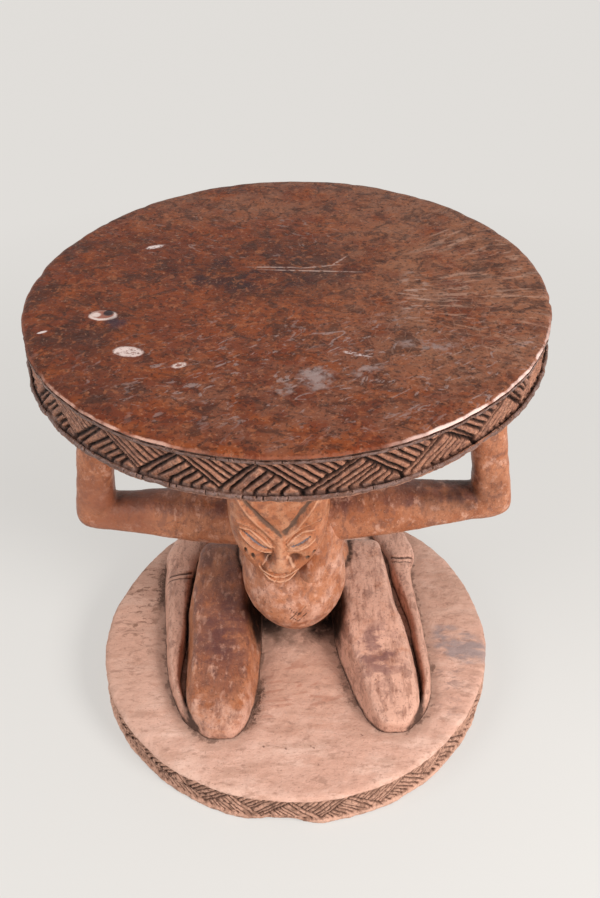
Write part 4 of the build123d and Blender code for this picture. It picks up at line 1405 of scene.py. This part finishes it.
lines = {
    "trunk": [
        ([(-4, -44, 103), (2.5, -44, 95), (9, -44, 103)], 0.55),
        ([(-4, -44, 91), (2.5, -44, 99), (9, -44, 91)], 0.5),
        ([(-5, -44, 97), (2.5, -44, 88), (10, -44, 97)], 0.5),
    ],
    **{
        name: [([(x + out, y, low), (x, y, 319)], 1.0) for y, low in ((-3.0, 298), (5.0, 296), (13.0, 298))]
        for name, x, out in (("leftArm", 136.0, 0.5), ("rightArm", -134.0, -0.5))
    },
    "leftLowerLeg": [
        ([(81, 72, 41), (85, 70.5, 43.5), (91, 69.5, 44), (97, 70.5, 43), (101, 72, 39)], 1.3),
        ([(81, 67, 41), (85, 65.5, 43), (91, 64.5, 43.5), (97, 65.5, 43), (101, 67, 39)], 0.7),
        *[
            ([(76 + k * 4.6, 121 - k * 0.4, 44), (80 + k * 4.6, 107, 48)], 0.9)
            for k in (-1.3, -0.4, 0.5, 1.4)
        ],
    ],
    "rightLowerLeg": [
        ([(-86, 58.5, 40), (-90, 55.5, 43.5), (-98, 53, 45), (-105, 51.5, 43.5), (-111, 49.5, 38)], 1.5),
        ([(-86, 52.5, 40), (-90, 49.5, 43.5), (-98, 47.5, 45), (-105, 46, 43.5), (-111, 44, 38)], 0.8),
        *[
            ([(-81 - k * 4.6, 117 - k * 0.4, 44), (-85 - k * 4.6, 103, 48)], 0.9)
            for k in (-1.3, -0.4, 0.5, 1.4)
        ],
    ],
    "plaitedHair": hairCuts(),
}
usual = dict(
    facetSize=11, facetDepth=0.9, gritSize=2.2, gritDepth=0.5, cutWidth=2.6, cutDepth=1.2,
    wander=0.8, wanderSize=6, dirtReach=3.5,
)
special = {
    "carvedHead": dict(
        facetSize=9, facetDepth=0.25, gritSize=1.6, gritDepth=0.25, cutWidth=2, cutDepth=1, dirtReach=3,
    ),
    "plaitedHair": dict(
        facetSize=7, facetDepth=0.3, gritSize=1.6, gritDepth=0.4, cutWidth=2.8, cutDepth=1.4, dirtReach=3,
    ),
}
replacedBy = {
    "trunk": ["torso", "neck", "left_breast", "right_breast", "left_buttock", "right_buttock"],
    "carvedHead": ["head"], "plaitedHair": ["coiffure"], "leftEar": ["left_ear"], "rightEar": ["right_ear"],
}
for name in ("left", "right"):
    special[name + "Thigh"] = special[name + "LowerLeg"] = dict(dirtReach=6.0)
    replacedBy[name + "Arm"] = [f"{name}_upper_arm", f"{name}_forearm", f"{name}_hand"]
    replacedBy[name + "Thigh"] = [f"{name}_thigh"]
    replacedBy[name + "LowerLeg"] = [f"{name}_lower_leg", f"{name}_foot"]
tones = {  # pale all over, pale near the base, pale at the knees, old finish on upper faces (on the arms also painted shade under the seat)
    "LowerLeg": (0.9, 0.25, 0.0, 0.05), "leftThigh": (0.78, 0.2, 0.1, 0.36),
    "rightThigh": (0.14, 0.25, 0.3, 0.74),
    "trunk": (0.45, 0.15, 0.0, 0.3), "rightArm": (0.02, 0, 0, 0.66), "leftArm": (0.2, 0, 0, 0.72),
    "Head": (0.1, 0, 0, 0.2), "": (0.05, 0, 0, 0.5),
}
copies = {}
for blank in (baseTop, seatTop, *figure):
    copies[blank.name] = bpy.data.objects.new(blank.name + "Blank", blank.data.copy())
# head, arms and trunk run into each other, so no dark line of dirt and painted shade is drawn where they
# meet
oneForm = ("trunk", "leftArm", "rightArm", "carvedHead")
for number, piece in enumerate([*figure, *ears.values()]):
    values = {**usual, **special.get(piece.name, {}), "seed": 3.0 + number}
    apart = [
        name
        for name in copies
        if name != piece.name and not (name in oneForm and piece.name in oneForm)
    ]
    if piece.name.endswith("Ear"):
        apart = ["plaitedHair"]
    look = facePolish if piece.name == "carvedHead" else figurePolish
    runs = onSurface(piece, lines.get(piece.name, []))
    carve(piece, look, runs, [copies[name] for name in apart], **values)
    # where handling left the wood pale, and where the old finish stays on the broad faces; on the arms'
    # upper faces this darkening is also painted shade under the seat
    x, y, z = pointsOf(piece).T
    upward = normalsOf(piece)[:, 2]
    palest, low, front, dark = tones[next(key for key in tones if piece.name.endswith(key))]
    knee = np.clip((-58 - y) / 26, 0, 1)
    pale = palest + low * np.clip((54 - z) / 14, 0, 1) + front * knee
    setAttribute(piece, "pale", pale)
    setAttribute(piece, "finish", dark * np.clip(upward * 1.6 - 0.1, 0, 1) * (1 - 0.6 * knee))
    finished(piece, replacedBy[piece.name])

# the base, with its fine cracks
baseCracks = [
    ([(-60, -104.8, 31), (-42, -108, 31), (-20, -109.5, 31), (2, -113, 31), (22, -112, 31)], 0.35),
    ([(9, -108.6, 31), (12.5, -111.2, 31)], 0.9), ([(48, -101, 31), (51, -103, 31)], 0.6),
    ([(15, -118, 31), (16, -135, 31)], 0.3),
]
standing = [copies[piece.name] for piece in (trunk, *arms.values(), *legs.values())]
carve(
    baseTop, rawHardwood, baseCracks, standing, facetSize=8, facetDepth=1.0, gritSize=2.4, gritDepth=0.6,
    cutWidth=1.6, cutDepth=0.8, wander=2.0, wanderSize=9, dirtReach=15, seed=2.0,
)
finished(baseTop, ["base_slab"])
carve(
    baseBorder, wornCarving, baseRuns, facetSize=8, facetDepth=1.2, gritSize=2.2, gritDepth=1.2,
    cutWidth=3.0, cutDepth=2.3, wander=1.4, wanderSize=5, seed=5.0,
)
x, y, z = pointsOf(baseBorder).T
setAttribute(baseBorder, "ridge", np.clip((np.hypot(x, y) - 153.2) / 1.6, 0, 1) * 0.7)
finished(baseBorder, ["base_border"])

# the seat, with its rubbed rim, which also carries painted highlights
x, y, z = pointsOf(seatTop).T
pastRim = np.hypot(x, y) + edgeInward(seat, np.arctan2(x, -y)) - 158.3
setAttribute(seatTop, "rim", np.clip(pastRim / 2.0, 0, 1) * (z > 340))
holders = [copies[name] for name in ("carvedHead", "plaitedHair", "leftArm", "rightArm")]
carve(
    seatTop, seatPatina, [], holders, facetSize=22, facetDepth=0.35, gritSize=5, gritDepth=0.3,
    cutWidth=1.8, cutDepth=0.4, wander=1.5, wanderSize=9, dirtReach=4, seed=4.0,
)
finished(seatTop, ["seat_slab"])
carve(
    seatBorder, borderPatina, friezeRuns, facetSize=6, facetDepth=0.5, gritSize=1.8, gritDepth=0.7,
    cutWidth=3.5, cutDepth=3.2, wander=1.1, wanderSize=4, seed=6.0,
)
x, y, z = pointsOf(seatBorder).T
strip = (z > 344.6) * 0.95
bead = (z < 324.6) * np.clip((z - 320.4) / 2.4, 0, 1)
setAttribute(seatBorder, "ridge", np.maximum(strip + bead, 0.25) * (np.hypot(x, y) > 158))
finished(seatBorder, ["seat_border"])
for copy in copies.values():
    mesh = copy.data
    bpy.data.objects.remove(copy)
    bpy.data.meshes.remove(mesh)


# Studio, with its light and camera, in metres
def seenDirectly(add):
    # 1 for what the camera, gloss and clear stuff see, 0 for the light on the object
    rays = add("LightPath")
    seen = add("Math", {0: rays["Is Camera Ray"], 1: rays["Is Glossy Ray"]}, operation="ADD")[0]
    return add("Math", {0: seen, 1: rays["Is Transmission Ray"]}, operation="ADD", use_clamp=True)[0]


studio = {
    "floorColour": "#dcd9d4", "seenColour": "#e2dfdb", "floorHalf": 4.0,
    "evenReach": (0.35, 0.9), "evenness": (0.6, 0.97), "skyLight": 0.42,
    "keyPlace": (0.95, -0.85, 0.85), "keySize": 0.6, "keyPower": 24.0, "keyGloss": 0.1,
    "fillPlace": (-0.95, -0.55, 1.0), "fillSize": 0.8, "fillPower": 9.0, "aim": (0, 0, 0.2),
}
floorFinish = bpy.data.materials.new("paleStudioFloor")
floorFinish.use_nodes = True
tree = floorFinish.node_tree
add = partial(addNode, tree)
matte = tree.nodes["Principled BSDF"]
matte.inputs["Base Color"].default_value = linear(studio["floorColour"])
matte.inputs["Roughness"].default_value = 0.9
# what the camera and gloss see is evened out towards a pale colour, most of all away from the stool
away = add("VectorMath", {0: add("NewGeometry")["Position"]}, operation="LENGTH")["Value"]
(near, far), (least, most) = studio["evenReach"], studio["evenness"]
evenness = add("MapRange", {0: away, 1: near, 2: far, 3: least, 4: most})[0]
share = add("Math", {0: seenDirectly(add), 1: evenness}, operation="MULTIPLY")[0]
paleness = add("Emission", {"Color": linear(studio["seenColour"]), "Strength": 1.0})[0]
evened = add("MixShader", {0: share, 1: matte.outputs[0], 2: paleness})[0]
tree.links.new(evened, tree.nodes["Material Output"].inputs[0])
half = studio["floorHalf"]
floorMesh = bpy.data.meshes.new("studioFloor")
corners = [(-half, -half, 0), (half, -half, 0), (half, half, 0), (-half, half, 0)]
floorMesh.from_pydata(corners, [], [(0, 1, 2, 3)])
floorMesh.materials.append(floorFinish)
studioFloor = bpy.data.objects.new("studioFloor", floorMesh)
bpy.context.scene.collection.objects.link(studioFloor)

world = bpy.data.worlds.new("softStudio")
bpy.context.scene.world = world
world.use_nodes = True
world.node_tree.nodes.clear()
add = partial(addNode, world.node_tree)
sky = add("Background", {"Color": (1, 1, 1, 1), "Strength": studio["skyLight"]})[0]
backdrop = add("Background", {"Color": linear(studio["seenColour"]), "Strength": 1.0})[0]
add("OutputWorld", {0: add("MixShader", {0: seenDirectly(add), 1: sky, 2: backdrop})[0]})

# only part of the key light is mirrored, so that the polished seat doesn't blaze when seen from behind
for name, lampKind, share, mirrored in (
    ("keyLight", "key", studio["keyGloss"], True),
    ("softKeyLight", "key", 1 - studio["keyGloss"], False),
    ("fillLight", "fill", 1, True),
):
    lamp = bpy.data.lights.new(name, "AREA")
    lamp.shape = "DISK"
    lamp.size = studio[lampKind + "Size"]
    lamp.energy = studio[lampKind + "Power"] * share
    holder = bpy.data.objects.new(name, lamp)
    holder.visible_glossy = mirrored
    holder.location = studio[lampKind + "Place"]
    aim = Vector(studio["aim"]) - Vector(studio[lampKind + "Place"])
    holder.rotation_euler = aim.to_track_quat("-Z", "Y").to_euler()
    bpy.context.scene.collection.objects.link(holder)

# camera of the photo: above and in front, looking down at the seat
camera = {
    "place": (0.00636, -0.53947, 0.66550), "down": 39.343, "roll": -1.0415,
    "focalPixels": 1000, "longSide": 898, "sensor": 36.0, "clipStart": 0.02,
}
lens = bpy.data.cameras.new("photoCamera")
lens.sensor_width = camera["sensor"]
lens.lens = camera["sensor"] * camera["focalPixels"] / camera["longSide"]
lens.clip_start = camera["clipStart"]
photoCamera = bpy.data.objects.new("photoCamera", lens)
tilt = Matrix.Rotation(math.radians(90 - camera["down"]), 4, "X")
roll = Matrix.Rotation(math.radians(camera["roll"]), 4, "Z")
photoCamera.matrix_world = Matrix.Translation(camera["place"]) @ tilt @ roll
bpy.context.scene.collection.objects.link(photoCamera)
bpy.context.scene.camera = photoCamera
bpy.context.scene.view_settings.view_transform = "Standard"
print("studio ready")
